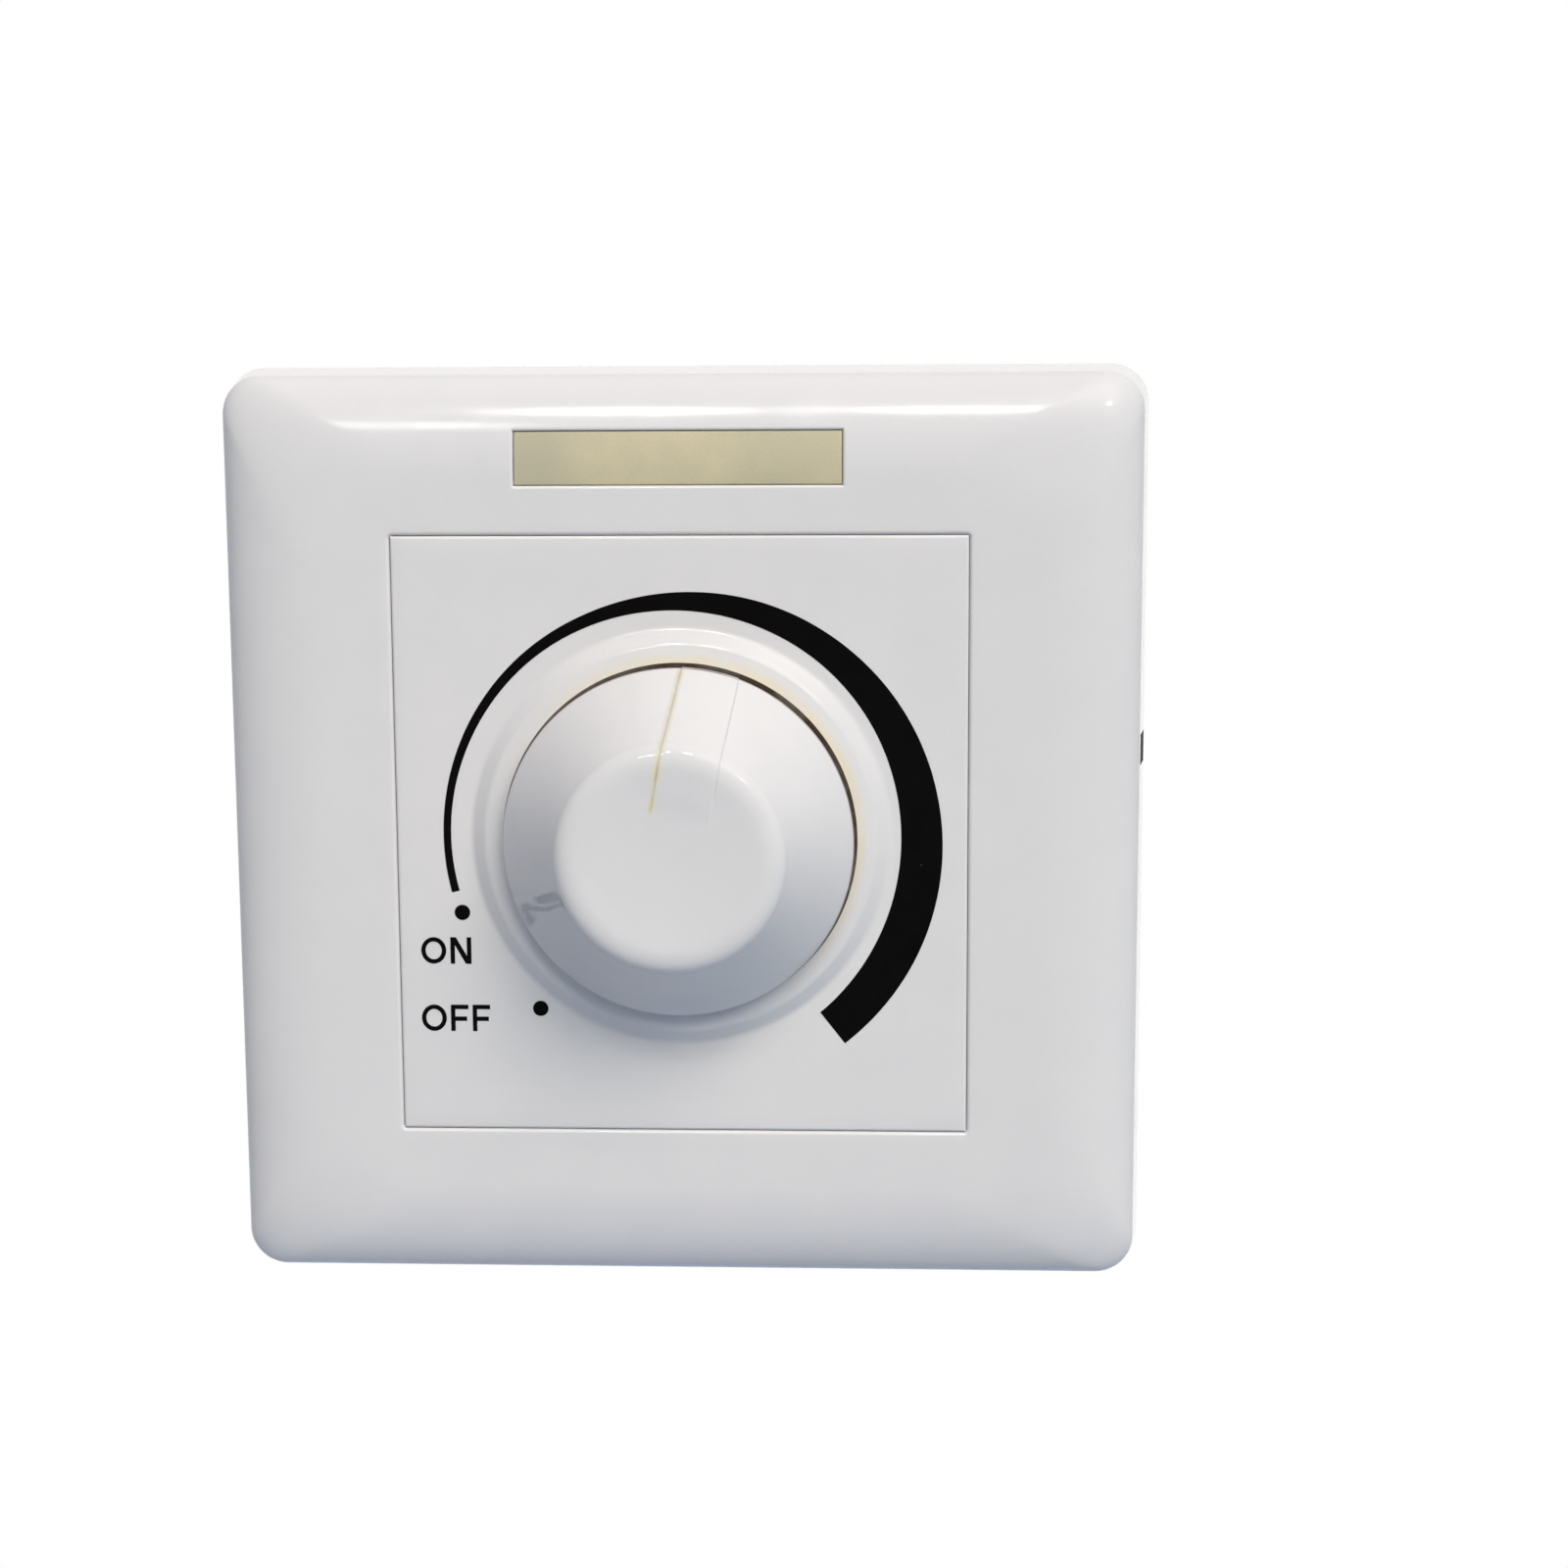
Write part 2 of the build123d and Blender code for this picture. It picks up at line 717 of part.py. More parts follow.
def make_pot_wiper():
    """A spring leaf under the carrier with a dished finger that rides on the track."""
    under = carrier_bottom - wiper_thickness
    ring = tube(wiper_ring_radius, wiper_ring_hole, under, carrier_bottom)
    start = (wiper_ring_radius + wiper_ring_hole) / 2
    middle = (start + wiper_reach) / 2
    finger = block(wiper_finger_width, wiper_reach - start, under, carrier_bottom, 0, middle)
    tip_y = wiper_reach - wiper_tip_radius
    tip = rod(wiper_tip_radius, carrier_bottom - wiper_drop, carrier_bottom - wiper_thickness / 2, 0, tip_y)
    return Rot(Z=-rest_pointer_clock) * (ring + finger + tip)


def make_pot_track():
    under = track_top - track_thickness
    track = tube(track_radius, shaft_tail_radius + track_hole_gap, under, track_top)
    flat_y = track_flat_depth - track_radius
    return track - block(2 * track_radius, 2, under - 1, track_top + 1, 0, flat_y - 1)


def pot_pin_positions():
    return [-pot_pin_pitch, 0, pot_pin_pitch]


def make_pot_terminals():
    """Three flat pins: out from under the track, bent down and through the board."""
    pins = Part()
    under = track_top - track_thickness
    out = -pot_radius - pin_reach
    for x in pot_pin_positions():
        length = pin_inner_reach + pin_reach
        flat = block(pin_width, length, under - pin_thickness, under, x, out + length / 2)
        drop = block(pin_width, pin_thickness, board_back - pin_tail, under, x, out + pin_thickness / 2)
        pins += flat + drop
    return pins


def cut_pin_windows(case):
    """Slots in the pot's cup where its three pins come out."""
    under = track_top - track_thickness
    for x in pot_pin_positions():
        low = under - pin_thickness - pin_hole_gap
        case -= block(pin_width + 2 * pin_hole_gap, pot_radius, low, under + pin_hole_gap, x, -pot_radius)
    return case


def switch_pin_positions():
    return [(leaf_x + pin_thickness / 2, -switch_pin_spread), (-leaf_x, switch_pin_spread)]


def make_switch_case():
    case = rod(pot_radius, switch_back, pot_back)
    case -= rod(switch_inner_radius, switch_back + switch_wall, pot_back - switch_wall)
    case -= rod(shaft_tail_radius + tail_clearance, pot_back - switch_wall - 1, pot_back + 1)
    play = 2 * running_gap
    for x, y in switch_pin_positions():
        high = switch_back + switch_wall + 1
        case -= block(pin_thickness + play, pin_width + play, switch_back - 1, high, x, y)
    return case


def make_switch_cam():
    hub = tube(cam_radius, shaft_tail_radius, cam_bottom, cam_top)
    lobe = block(cam_lobe_radius, cam_lobe_width, cam_bottom, cam_top, cam_lobe_radius / 2)
    lobe -= rod(cam_radius - joint_overlap, cam_bottom - 1, cam_top + 1)
    # at rest the lobe stands this far round from where it lifts the leaf
    return Rot(Z=-knob_turn_to_off) * (hub + lobe)


def make_switch_leaf():
    """The moving contact: a spring strip beside the cam, with its pin through the board."""
    middle = (cam_top + cam_bottom) / 2
    low = middle - leaf_height / 2
    leaf = block(leaf_thickness, leaf_length, low, middle + leaf_height / 2, leaf_x + leaf_thickness / 2)
    pin_x, pin_y = switch_pin_positions()[0]
    pin_top = low + 2 * joint_overlap
    return leaf + block(pin_thickness, pin_width, board_back - pin_tail, pin_top, pin_x, pin_y)


def make_switch_contact():
    """The fixed contact: a strip along the case's floor from its pin to a stud at the leaf."""
    middle = (cam_top + cam_bottom) / 2
    floor = switch_back + switch_wall
    pin_x, pin_y = switch_pin_positions()[1]
    top = floor + contact_thickness
    pin = block(pin_thickness, pin_width, board_back - pin_tail, top, pin_x, pin_y)
    stud_x = leaf_x - contact_gap - contact_stud / 2
    strip = block(stud_x - pin_x, pin_width, floor, top, (stud_x + pin_x) / 2, pin_y)
    stud = block(contact_stud, pin_width, floor, middle + leaf_height / 3, stud_x, pin_y)
    return pin + strip + stud


def knob_outline(proud):
    """Half section of the knob's outside: radius across, height up, from the rim to the axis."""
    rim = knob_rim_radius + proud
    top = knob_top_radius + proud
    low = plate_depth + knob_skirt_bottom
    lip = plate_depth + knob_rim_height
    crest = plate_depth + knob_top_height + proud
    turn = crest - knob_edge_round
    slant = hypot(rim - top, turn - lip)
    bow_x = (rim + top) / 2 - knob_flare_bow * (turn - lip) / slant
    bow_y = (lip + turn) / 2 - knob_flare_bow * (rim - top) / slant
    edge = knob_edge_round * (1 - sqrt(0.5))
    face_radius = top - knob_edge_round
    dish = (face_radius / 2, crest - knob_dish_shape * knob_dish)
    return [
        Line((0, low), (rim, low)),
        Line((rim, low), (rim, lip)),
        ThreePointArc((rim, lip), (bow_x, bow_y), (top, turn)),
        ThreePointArc((top, turn), (top - edge, crest - edge), (face_radius, crest)),
        ThreePointArc((face_radius, crest), dish, (0, crest - knob_dish)),
        Line((0, crest - knob_dish), (0, low)),
    ]


def knob_solid(proud):
    return revolve(Rot(X=90) * make_face(Curve() + knob_outline(proud)), Axis.Z)


def knob_hollow():
    """The inside of the shell: a cone with a flat roof."""
    low = plate_depth + knob_skirt_bottom - 1
    lip = plate_depth + knob_rim_height - knob_rim_step
    roof = plate_depth + knob_top_height - knob_dish - knob_wall
    rim = knob_rim_radius - knob_rim_wall
    top = knob_top_radius - knob_skirt_wall
    points = [(0, low), (rim, low), (rim, lip), (top, roof), (0, roof)]
    return revolve(Rot(X=90) * make_face(Polyline(*points, close=True)), Axis.Z)


def make_knob():
    """A thin flared shell on a ribbed boss with a D bore, and the raised pointer band."""
    knob = knob_solid(0)
    band_middle = (pointer_inner_end + knob_rim_radius + 2) / 2
    band_length = knob_rim_radius + 2 - pointer_inner_end
    band_low = plate_depth + knob_skirt_bottom
    lane = block(pointer_width, band_length, band_low, plate_depth + knob_top_height + 1, 0, band_middle)
    knob += knob_solid(pointer_proud) & lane
    hollow = knob_hollow()
    knob -= hollow
    roof = plate_depth + knob_top_height - knob_dish - knob_wall
    low = plate_depth + knob_boss_bottom
    spokes = Part()
    for i in range(knob_rib_count):
        length = knob_rim_radius
        rib = block(length, knob_rib_thickness, low + knob_rib_rise, roof + joint_overlap, length / 2)
        spokes += Rot(Z=30 + 360 * i / knob_rib_count) * rib
    knob += (spokes & hollow) + rod(knob_boss_radius, low, roof + joint_overlap)
    bore_top = shaft_top + shaft_end_gap
    bore = rod(shaft_radius + running_gap / 2, low - 1, bore_top)
    flat_start = shaft_top - shaft_flat_length
    fill_x = shaft_flat_x + clip_thickness + 2 * running_gap + shaft_radius / 2
    d_fill = block(shaft_radius, 4 * shaft_radius, flat_start, bore_top, fill_x)
    d_bore = bore - d_fill
    knob -= d_bore
    seat_x = shaft_flat_x + running_gap + clip_thickness / 2
    clip_slot = block(
        clip_thickness + running_gap,
        clip_width + 2 * running_gap,
        shaft_top - clip_length - running_gap,
        bore_top,
        seat_x,
    )
    return Rot(Z=-rest_pointer_clock) * (knob - clip_slot)


def make_knob_spring_clip():
    """A thin leaf between the shaft's flat and the boss."""
    x = shaft_flat_x + running_gap + clip_thickness / 2
    leaf = block(clip_thickness - running_gap / 2, clip_width, shaft_top - clip_length, shaft_top, x)
    return Rot(Z=-rest_pointer_clock) * leaf


def make_terminal_block():
    width = pole_pitch * pole_count + 2 * block_end_wall
    body = block(width, block_depth, block_back, board_back, 0, block_centre_y)
    low = clamp_centre_level - clamp_cavity_height / 2
    high = clamp_centre_level + clamp_cavity_height / 2
    for x in pole_positions():
        body -= block(clamp_cavity_width, clamp_cavity_depth, low, high, x, block_centre_y)
        body -= rod(terminal_head_radius + terminal_head_gap, block_back - 1, low + 1, x, block_centre_y)
        body -= rod(terminal_pin_radius + pin_hole_gap, high - 1, board_back + 1, x, block_centre_y)
        body -= bar_y(wire_hole_radius, block_near_y - 1, block_centre_y, x, wire_hole_level)
    return body


def make_terminal_clamps():
    """Brass cages, each with its wire way and its threaded hole."""
    clamps = Part()
    width = clamp_cavity_width - 2 * clamp_gap
    depth = clamp_cavity_depth - 2 * clamp_gap
    half = clamp_cavity_height / 2 - clamp_gap
    for x in pole_positions():
        cage = block(width, depth, clamp_centre_level - half, clamp_centre_level + half, x, block_centre_y)
        reach = clamp_cavity_depth
        radius = wire_hole_radius - clamp_way_step
        way = bar_y(radius, block_centre_y - reach, block_centre_y + reach, x, wire_hole_level)
        thread_radius = terminal_screw_radius + running_gap
        low = clamp_centre_level - half - 1
        thread = rod(thread_radius, low, wire_hole_level, x, block_centre_y)
        clamps += cage - way - thread
    return clamps


def make_terminal_screws():
    screws = Part()
    clamp_back = clamp_centre_level - clamp_cavity_height / 2 + clamp_gap
    tip = wire_hole_level - wire_hole_radius + terminal_screw_bite
    for x in pole_positions():
        head_top = clamp_back - terminal_screw_lift
        shank = rod(terminal_screw_radius, head_top - joint_overlap, tip, x, block_centre_y)
        head = rod(terminal_head_radius, head_top - terminal_head_height, head_top, x, block_centre_y)
        slot_high = head_top - terminal_head_height + driver_slot_depth
        head -= block(3 * terminal_head_radius, driver_slot, slot_high - 2, slot_high, x, block_centre_y)
        screws += shank + head
    return screws


def make_terminal_pins():
    pins = Part()
    clamp_front = clamp_centre_level + clamp_cavity_height / 2 - clamp_gap
    for x in pole_positions():
        pins += rod(terminal_pin_radius, clamp_front, board_level + solder_reach, x, block_centre_y)
    return pins


def triac_lead_positions():
    return [triac_x + triac_lead_pitch * i for i in (-1, 0, 1)]


def triac_lead_y():
    return triac_body_bottom_y - triac_lead_reach + pin_thickness / 2


def make_triac_body():
    middle = triac_body_bottom_y + triac_body_length / 2
    low = sink_top + triac_tab_thickness
    body = block(triac_body_width, triac_body_length, low, sink_top + triac_body_height, triac_x, middle)
    return chamfer(body.faces().sort_by(Axis.Z)[-1].edges(), moulding_round)


def make_triac_tab():
    """The metal tab under the body, and the three leads bent down into the board."""
    length = triac_body_length + triac_tab_length
    middle = triac_body_bottom_y + length / 2
    tab = block(triac_body_width, length, sink_top, sink_top + triac_tab_thickness, triac_x, middle)
    tab_top = sink_top + triac_tab_thickness
    tab -= rod(sink_screw_radius + screw_clearance, sink_top - 1, tab_top + 1, triac_x, triac_hole_y)
    level = tab_top - pin_thickness
    out = triac_body_bottom_y - triac_lead_reach
    for x in triac_lead_positions():
        reach = triac_lead_reach + joint_overlap
        tab += block(triac_lead_width, reach, level, level + pin_thickness, x, out + reach / 2)
        drop_low = board_back - pin_tail
        tab += block(triac_lead_width, pin_thickness, drop_low, level + pin_thickness, x, triac_lead_y())
    return tab


def make_heat_sink():
    middle = triac_body_bottom_y - heat_sink_margin + heat_sink_length / 2
    plate = block(heat_sink_width, heat_sink_length, board_level, sink_top, triac_x, middle)
    hole_radius = sink_screw_radius + screw_clearance
    return plate - rod(hole_radius, board_level - 1, sink_top + 1, triac_x, triac_hole_y)


def make_heat_sink_screw():
    seat = sink_top + triac_tab_thickness
    tip = board_back - sink_nut_height - sink_thread_end
    shank = rod(sink_screw_radius, tip, seat, triac_x, triac_hole_y)
    return shank + slotted_head(sink_head_radius, sink_head_height, seat, triac_x, triac_hole_y)


def make_heat_sink_nut():
    low = board_back - sink_nut_height
    nut = hexagon(sink_nut_across_flats, low, board_back, triac_x, triac_hole_y)
    hole_radius = sink_screw_radius + running_gap
    return nut - rod(hole_radius, low - 1, board_back + 1, triac_x, triac_hole_y)


def make_choke_core():
    """A ferrite bobbin: two round cheeks on a thin core."""
    top = board_level + choke_height
    core = rod(choke_core_radius, board_level, top, choke_x, choke_y)
    core += rod(choke_radius, board_level, board_level + choke_flange, choke_x, choke_y)
    return core + rod(choke_radius, top - choke_flange, top, choke_x, choke_y)


def make_choke_winding():
    """The winding as one layered ring between the cheeks."""
    low = board_level + choke_flange
    high = board_level + choke_height - choke_flange
    return tube(choke_winding_radius, choke_core_radius, low, high, choke_x, choke_y)


def make_filter_capacitor():
    top = board_level + filter_height
    body = block(filter_width, filter_depth, board_level, top, filter_x, filter_y)
    return fillet(body.edges().filter_by(Axis.Z), moulding_round)


def make_timing_capacitor():
    top = board_level + timing_height
    body = block(timing_width, timing_depth, board_level, top, timing_x, timing_y)
    return fillet(body.edges().filter_by(Axis.Z), moulding_round)


def resistor_positions():
    return [resistor_x + resistor_pitch * i for i in range(resistor_count)]


def axial_body(radius, length, x, y, level):
    """A small round body lying along y, its ends a little thicker than its waist."""
    body = bar_y(radius * resistor_waist, y - length / 2, y + length / 2, x, level)
    half_cap = length * resistor_cap_share / 2
    for end in (-1, 1):
        middle = y + end * (length / 2 - half_cap)
        cap = bar_y(radius, middle - half_cap, middle + half_cap, x, level)
        body += fillet(cap.edges(), resistor_round)
    return body


def make_resistors():
    bodies = Part()
    level = board_level + resistor_lift + resistor_radius
    for x in resistor_positions():
        bodies += axial_body(resistor_radius, resistor_length, x, resistor_y, level)
    return bodies


def axial_lead(x, y, body_end, hole, level):
    """One wire from a body's end out to its hole and down through the board, along y."""
    sign = 1 if hole > body_end else -1
    start = y + body_end
    end = y + hole
    far = end + sign * lead_radius
    run = bar_y(lead_radius, min(start, far), max(start, far), x, level)
    return run + rod(lead_radius, board_back - pin_tail, level, x, end)


def make_resistor_leads():
    leads = Part()
    level = board_level + resistor_lift + resistor_radius
    for x in resistor_positions():
        for end in (-1, 1):
            lead = axial_lead(x, resistor_y, end * resistor_length / 2, end * resistor_lead_span / 2, level)
            leads += lead
    return leads


def make_diac():
    """A glass diode lying along x, with its two wires."""
    level = board_level + resistor_lift + diac_radius
    body = bar_x(diac_radius, diac_x - diac_length / 2, diac_x + diac_length / 2, diac_y, level)
    body = fillet(body.edges(), diac_round)
    half = diac_lead_span / 2
    wires = bar_x(lead_radius, diac_x - half - lead_radius, diac_x + half + lead_radius, diac_y, level)
    for end in (-1, 1):
        wires += rod(lead_radius, board_back - pin_tail, level, diac_x + end * half, diac_y)
    return body + wires


def make_fuse_glass():
    half = fuse_length / 2 - fuse_cap_wall
    radius = fuse_radius - fuse_cap_wall
    return bar_x(radius, -half, half, fuse_y, fuse_level)


def make_fuse_caps():
    caps = Part()
    for end in (-1, 1):
        outer = end * fuse_length / 2
        inner = outer - end * fuse_cap_length
        cap = bar_x(fuse_radius, min(outer, inner), max(outer, inner), fuse_y, fuse_level)
        hollow_end = outer - end * fuse_cap_wall
        cap -= bar_x(
            fuse_radius - fuse_cap_wall,
            min(hollow_end, inner - end),
            max(hollow_end, inner - end),
            fuse_y,
            fuse_level,
        )
        caps += cap
    return caps


def make_fuse_clips():
    """Two bent spring clips that grip the fuse's caps and stand on the board."""
    clips = Part()
    outer = fuse_radius + clip_sheet
    for end in (-1, 1):
        middle = end * (fuse_length / 2 - fuse_cap_length / 2)
        start = middle - clip_grip_length / 2
        ring = bar_x(outer, start, start + clip_grip_length, fuse_y, fuse_level)
        hole = bar_x(fuse_radius + clip_fit, start - 1, start + clip_grip_length + 1, fuse_y, fuse_level)
        mouth = block(clip_grip_length + 2, clip_mouth, fuse_level, fuse_level + 2 * outer, middle, fuse_y)
        foot = block(clip_grip_length, clip_foot, board_level, fuse_level, middle, fuse_y)
        clips += (ring + foot) - hole - mouth
    return clips


outside = cover_form()

pieces = {
    "cover_frame": make_cover_frame(),
    "glow_strip": make_glow_strip(),
    "front_panel": make_front_panel(),
    "mounting_yoke": make_mounting_yoke(),
    "yoke_screws": make_yoke_screws(),
    "rear_housing": make_rear_housing(),
    "circuit_board": make_circuit_board(),
    "board_screws": make_board_screws(),
    "pot_case": cut_pin_windows(make_pot_case()),
    "pot_bushing": make_pot_bushing(),
    "pot_lock_washer": make_pot_lock_washer(),
    "pot_nut": make_pot_nut(),
    "pot_shaft": make_pot_shaft(),
    "pot_wiper_carrier": make_pot_wiper_carrier(),
    "pot_wiper": make_pot_wiper(),
    "pot_track": make_pot_track(),
    "pot_terminals": make_pot_terminals(),
    "switch_case": make_switch_case(),
    "switch_cam": make_switch_cam(),
    "switch_leaf": make_switch_leaf(),
    "switch_contact": make_switch_contact(),
    "knob": make_knob(),
    "knob_spring_clip": make_knob_spring_clip(),
    "terminal_block": make_terminal_block(),
    "terminal_clamps": make_terminal_clamps(),
    "terminal_screws": make_terminal_screws(),
    "terminal_pins": make_terminal_pins(),
    "triac_body": make_triac_body(),
    "triac_tab": make_triac_tab(),
    "heat_sink": make_heat_sink(),
    "heat_sink_screw": make_heat_sink_screw(),
    "heat_sink_nut": make_heat_sink_nut(),
    "choke_core": make_choke_core(),
    "choke_winding": make_choke_winding(),
    "filter_capacitor": make_filter_capacitor(),
    "timing_capacitor": make_timing_capacitor(),
    "resistors": make_resistors(),
    "resistor_leads": make_resistor_leads(),
    "diac": make_diac(),
    "fuse_glass": make_fuse_glass(),
    "fuse_caps": make_fuse_caps(),
    "fuse_clips": make_fuse_clips(),
}

os.makedirs("parts", exist_ok=True)
for name, piece in pieces.items():
    export_step(stand_up(piece), f"parts/{name}.step")
print(len(pieces), "pieces; the knob turns", round(knob_turn_to_off, 1), "degrees back to off")
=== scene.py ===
# %% [markdown]
# A rotary wall dimmer, dressed for the camera.
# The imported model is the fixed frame: every piece at its real size and on the body that carries it.
# This lesson keeps that frame and gives it its looks: finer moulded shells in front, printing,
# plastics, metals, stains and light.
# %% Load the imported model
import bmesh
import bpy
import json
from math import acos, asin, cos, degrees, hypot, pi, radians, sin, sqrt
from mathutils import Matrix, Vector


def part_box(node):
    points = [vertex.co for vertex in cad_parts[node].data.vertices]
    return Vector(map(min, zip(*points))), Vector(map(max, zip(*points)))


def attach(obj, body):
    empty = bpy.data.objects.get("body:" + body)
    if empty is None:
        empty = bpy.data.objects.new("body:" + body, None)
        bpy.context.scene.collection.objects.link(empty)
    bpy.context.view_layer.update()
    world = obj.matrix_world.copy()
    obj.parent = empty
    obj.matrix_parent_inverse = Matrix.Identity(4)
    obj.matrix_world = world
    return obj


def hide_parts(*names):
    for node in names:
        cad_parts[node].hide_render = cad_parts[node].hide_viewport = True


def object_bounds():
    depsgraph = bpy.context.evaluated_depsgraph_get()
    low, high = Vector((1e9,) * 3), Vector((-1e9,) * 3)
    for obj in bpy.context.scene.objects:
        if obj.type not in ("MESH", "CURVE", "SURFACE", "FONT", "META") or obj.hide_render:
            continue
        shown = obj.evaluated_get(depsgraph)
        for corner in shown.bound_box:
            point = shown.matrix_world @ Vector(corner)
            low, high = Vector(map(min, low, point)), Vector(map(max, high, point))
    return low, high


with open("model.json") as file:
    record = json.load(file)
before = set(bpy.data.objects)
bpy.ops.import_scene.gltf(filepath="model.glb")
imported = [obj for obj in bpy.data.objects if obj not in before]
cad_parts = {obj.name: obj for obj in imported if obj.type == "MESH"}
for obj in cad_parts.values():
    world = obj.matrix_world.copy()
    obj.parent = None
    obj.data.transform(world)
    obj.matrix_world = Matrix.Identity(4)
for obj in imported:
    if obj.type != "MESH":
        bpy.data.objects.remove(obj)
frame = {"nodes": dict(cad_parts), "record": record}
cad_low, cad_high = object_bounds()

scene = bpy.context.scene
print("CAD box in mm:", [round(1000 * v, 2) for v in (*cad_low, *cad_high)])

# %% [markdown]
# Every shape below is drawn the way it lies on a bench: x to the right, up along the wall, and
# out of the wall, all in millimetres. One small function turns such a point into the frame's
# metres, where the dimmer faces -Y. Writing sizes in one clear system keeps them easy to check.
# A sheet gathers the points and faces of one piece until it is made in its finish.
# %% Points and meshes
MM = 0.001
materials = {}


def place(x, up, out):
    """A bench point in millimetres as a point of the frame in metres."""
    return (x * MM, -out * MM, up * MM)


def turned(x, up, clock):
    """A bench point turned clockwise round the knob's axis, in degrees."""
    c, s = cos(radians(clock)), sin(radians(clock))
    return x * c + up * s, up * c - x * s


class Sheet:
    """Gathers points and faces for one mesh."""

    def __init__(self):
        self.points = []
        self.faces = []

    def ring(self, points):
        """Add a row of bench points and give back their numbers."""
        start = len(self.points)
        self.points += [place(*p) for p in points]
        return list(range(start, len(self.points)))

    def band(self, a, b, leave=()):
        """Join two closed rows with four-sided faces, leaving out the given columns."""
        count = len(a)
        for i in range(count):
            j = (i + 1) % count
            if i not in leave:
                self.faces.append((a[i], a[j], b[j], b[i]))

    def skin(self, rows):
        """Join closed rows one after the other."""
        for a, b in zip(rows, rows[1:]):
            self.band(a, b)

    def strip(self, a, b):
        """Join two open rows of the same length."""
        for i in range(len(a) - 1):
            self.faces.append((a[i], a[i + 1], b[i + 1], b[i]))

    def bar(self, end, other_end):
        """A solid between two outlines with the same number of points."""
        a, b = self.ring(end), self.ring(other_end)
        self.faces += [tuple(a), tuple(b)]
        self.band(a, b)

    def prism(self, outline, low, high):
        """A flat outline (x, up) made into a thin solid from one level to another."""
        self.bar([(x, up, low) for x, up in outline], [(x, up, high) for x, up in outline])

    def object(self, name, finish, body=None, crease=35.0):
        """Make the piece, with faces turned outwards and sharp edges kept sharp."""
        mesh = bpy.data.meshes.new(name)
        mesh.from_pydata(self.points, [], self.faces)
        work = bmesh.new()
        work.from_mesh(mesh)
        bmesh.ops.remove_doubles(work, verts=work.verts, dist=0.0005 * MM)
        bmesh.ops.recalc_face_normals(work, faces=work.faces)
        work.to_mesh(mesh)
        work.free()
        mesh.shade_smooth()
        mesh.set_sharp_from_angle(angle=radians(crease))
        mesh.materials.append(materials[finish])
        piece = bpy.data.objects.new(name, mesh)
        scene.collection.objects.link(piece)
        if body:
            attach(piece, body)
        print(name, "has", len(mesh.vertices), "points")
        return piece


# %% [markdown]
# The camera stands where the photographer stood: a little to the right of the plate and a little
# above it, about a quarter of a metre away. The place and the angles come from fitting a
# perspective to the plate's straight edges and the printed circle.
# %% Camera
CAMERA_PLACE = (20.34, 37.91, 239.31)
CAMERA_ANGLES = (81.877, 0.260, 2.656)
CAMERA_LENS = 58.5

camera_data = bpy.data.cameras.new("camera")
camera_data.lens = CAMERA_LENS
camera_data.sensor_width = 36.0
camera_data.clip_start = 0.01
camera = bpy.data.objects.new("camera", camera_data)
camera.location = place(*CAMERA_PLACE)
camera.rotation_euler = [radians(a) for a in CAMERA_ANGLES]
scene.collection.objects.link(camera)
scene.camera = camera
print("camera at", [round(v, 4) for v in camera.location])

# %% [markdown]
# Colours are easiest to think of as a picture shows them, from 0 to 255, but a shader works with
# linear light. This helper converts one into the other, so that each colour is written as it
# should look.
# %% Colours


def tint(red, green, blue):
    """A colour as a picture shows it, turned into linear light."""
    linear = []
    for level in (red, green, blue):
        v = level / 255
        linear.append(v / 12.92 if v <= 0.04045 else ((v + 0.055) / 1.055) ** 2.4)
    return (*linear, 1.0)


# %% [markdown]
# Materials are built from nodes. These short helpers add a node, feed its inputs, mix colours and
# do sums, so that the recipes further down read like recipes. A socket knows the tree that it
# belongs to, so most helpers find the right tree by themselves.
# %% Node helpers


def feed(value, socket):
    """Link a socket to an input, or set the input's value."""
    if isinstance(value, bpy.types.NodeSocket):
        socket.id_data.links.new(value, socket)
    else:
        socket.default_value = value


def fill(node, values):
    """Feed a node's inputs by name."""
    for name, value in values.items():
        feed(value, node.inputs[name.replace("_", " ")])


def add(tree, kind, **values):
    """Add a node with its inputs fed."""
    made = tree.nodes.new("ShaderNode" + kind)
    fill(made, values)
    return made


def tree_of(*values):
    """The tree of the first socket among these values."""
    return next(value.id_data for value in values if isinstance(value, bpy.types.NodeSocket))


def math(operation, *values, clamp=False):
    made = add(tree_of(*values), "Math")
    made.operation = operation
    made.use_clamp = clamp
    for value, socket in zip(values, made.inputs):
        feed(value, socket)
    return made.outputs[0]


def product(*values, clamp=False):
    total = values[0]
    for value in values[1:]:
        total = math("MULTIPLY", total, value, clamp=clamp)
    return total


def vector_math(operation, a, b=None, scale=None):
    made = add(tree_of(a, b, scale), "VectorMath")
    made.operation = operation
    for key, value in ((0, a), (1, b), ("Scale", scale)):
        if value is not None:
            feed(value, made.inputs[key])
    return made.outputs["Value" if operation == "DOT_PRODUCT" else "Vector"]


def mix_colour(factor, a, b):
    """Colour a where the factor is 0 and colour b where it is 1."""
    made = add(tree_of(factor, a, b), "Mix")
    made.data_type = "RGBA"
    for number, value in ((0, factor), (6, a), (7, b)):
        feed(value, made.inputs[number])
    return made.outputs[2]


def spread(value, low, high, start=0.0, end=1.0):
    """Map a value from one span to another with soft ends."""
    spans = {"From_Min": low, "From_Max": high, "To_Min": start, "To_Max": end}
    made = add(value.id_data, "MapRange", Value=value, **spans)
    made.interpolation_type = "SMOOTHSTEP"
    return made.outputs["Result"]


def noise(where, scale, detail):
    """Soft random hills from 0 to 1; the scale is how many of them fit on a millimetre."""
    return add(where.id_data, "TexNoise", Vector=where, Scale=scale, Detail=detail).outputs[0]


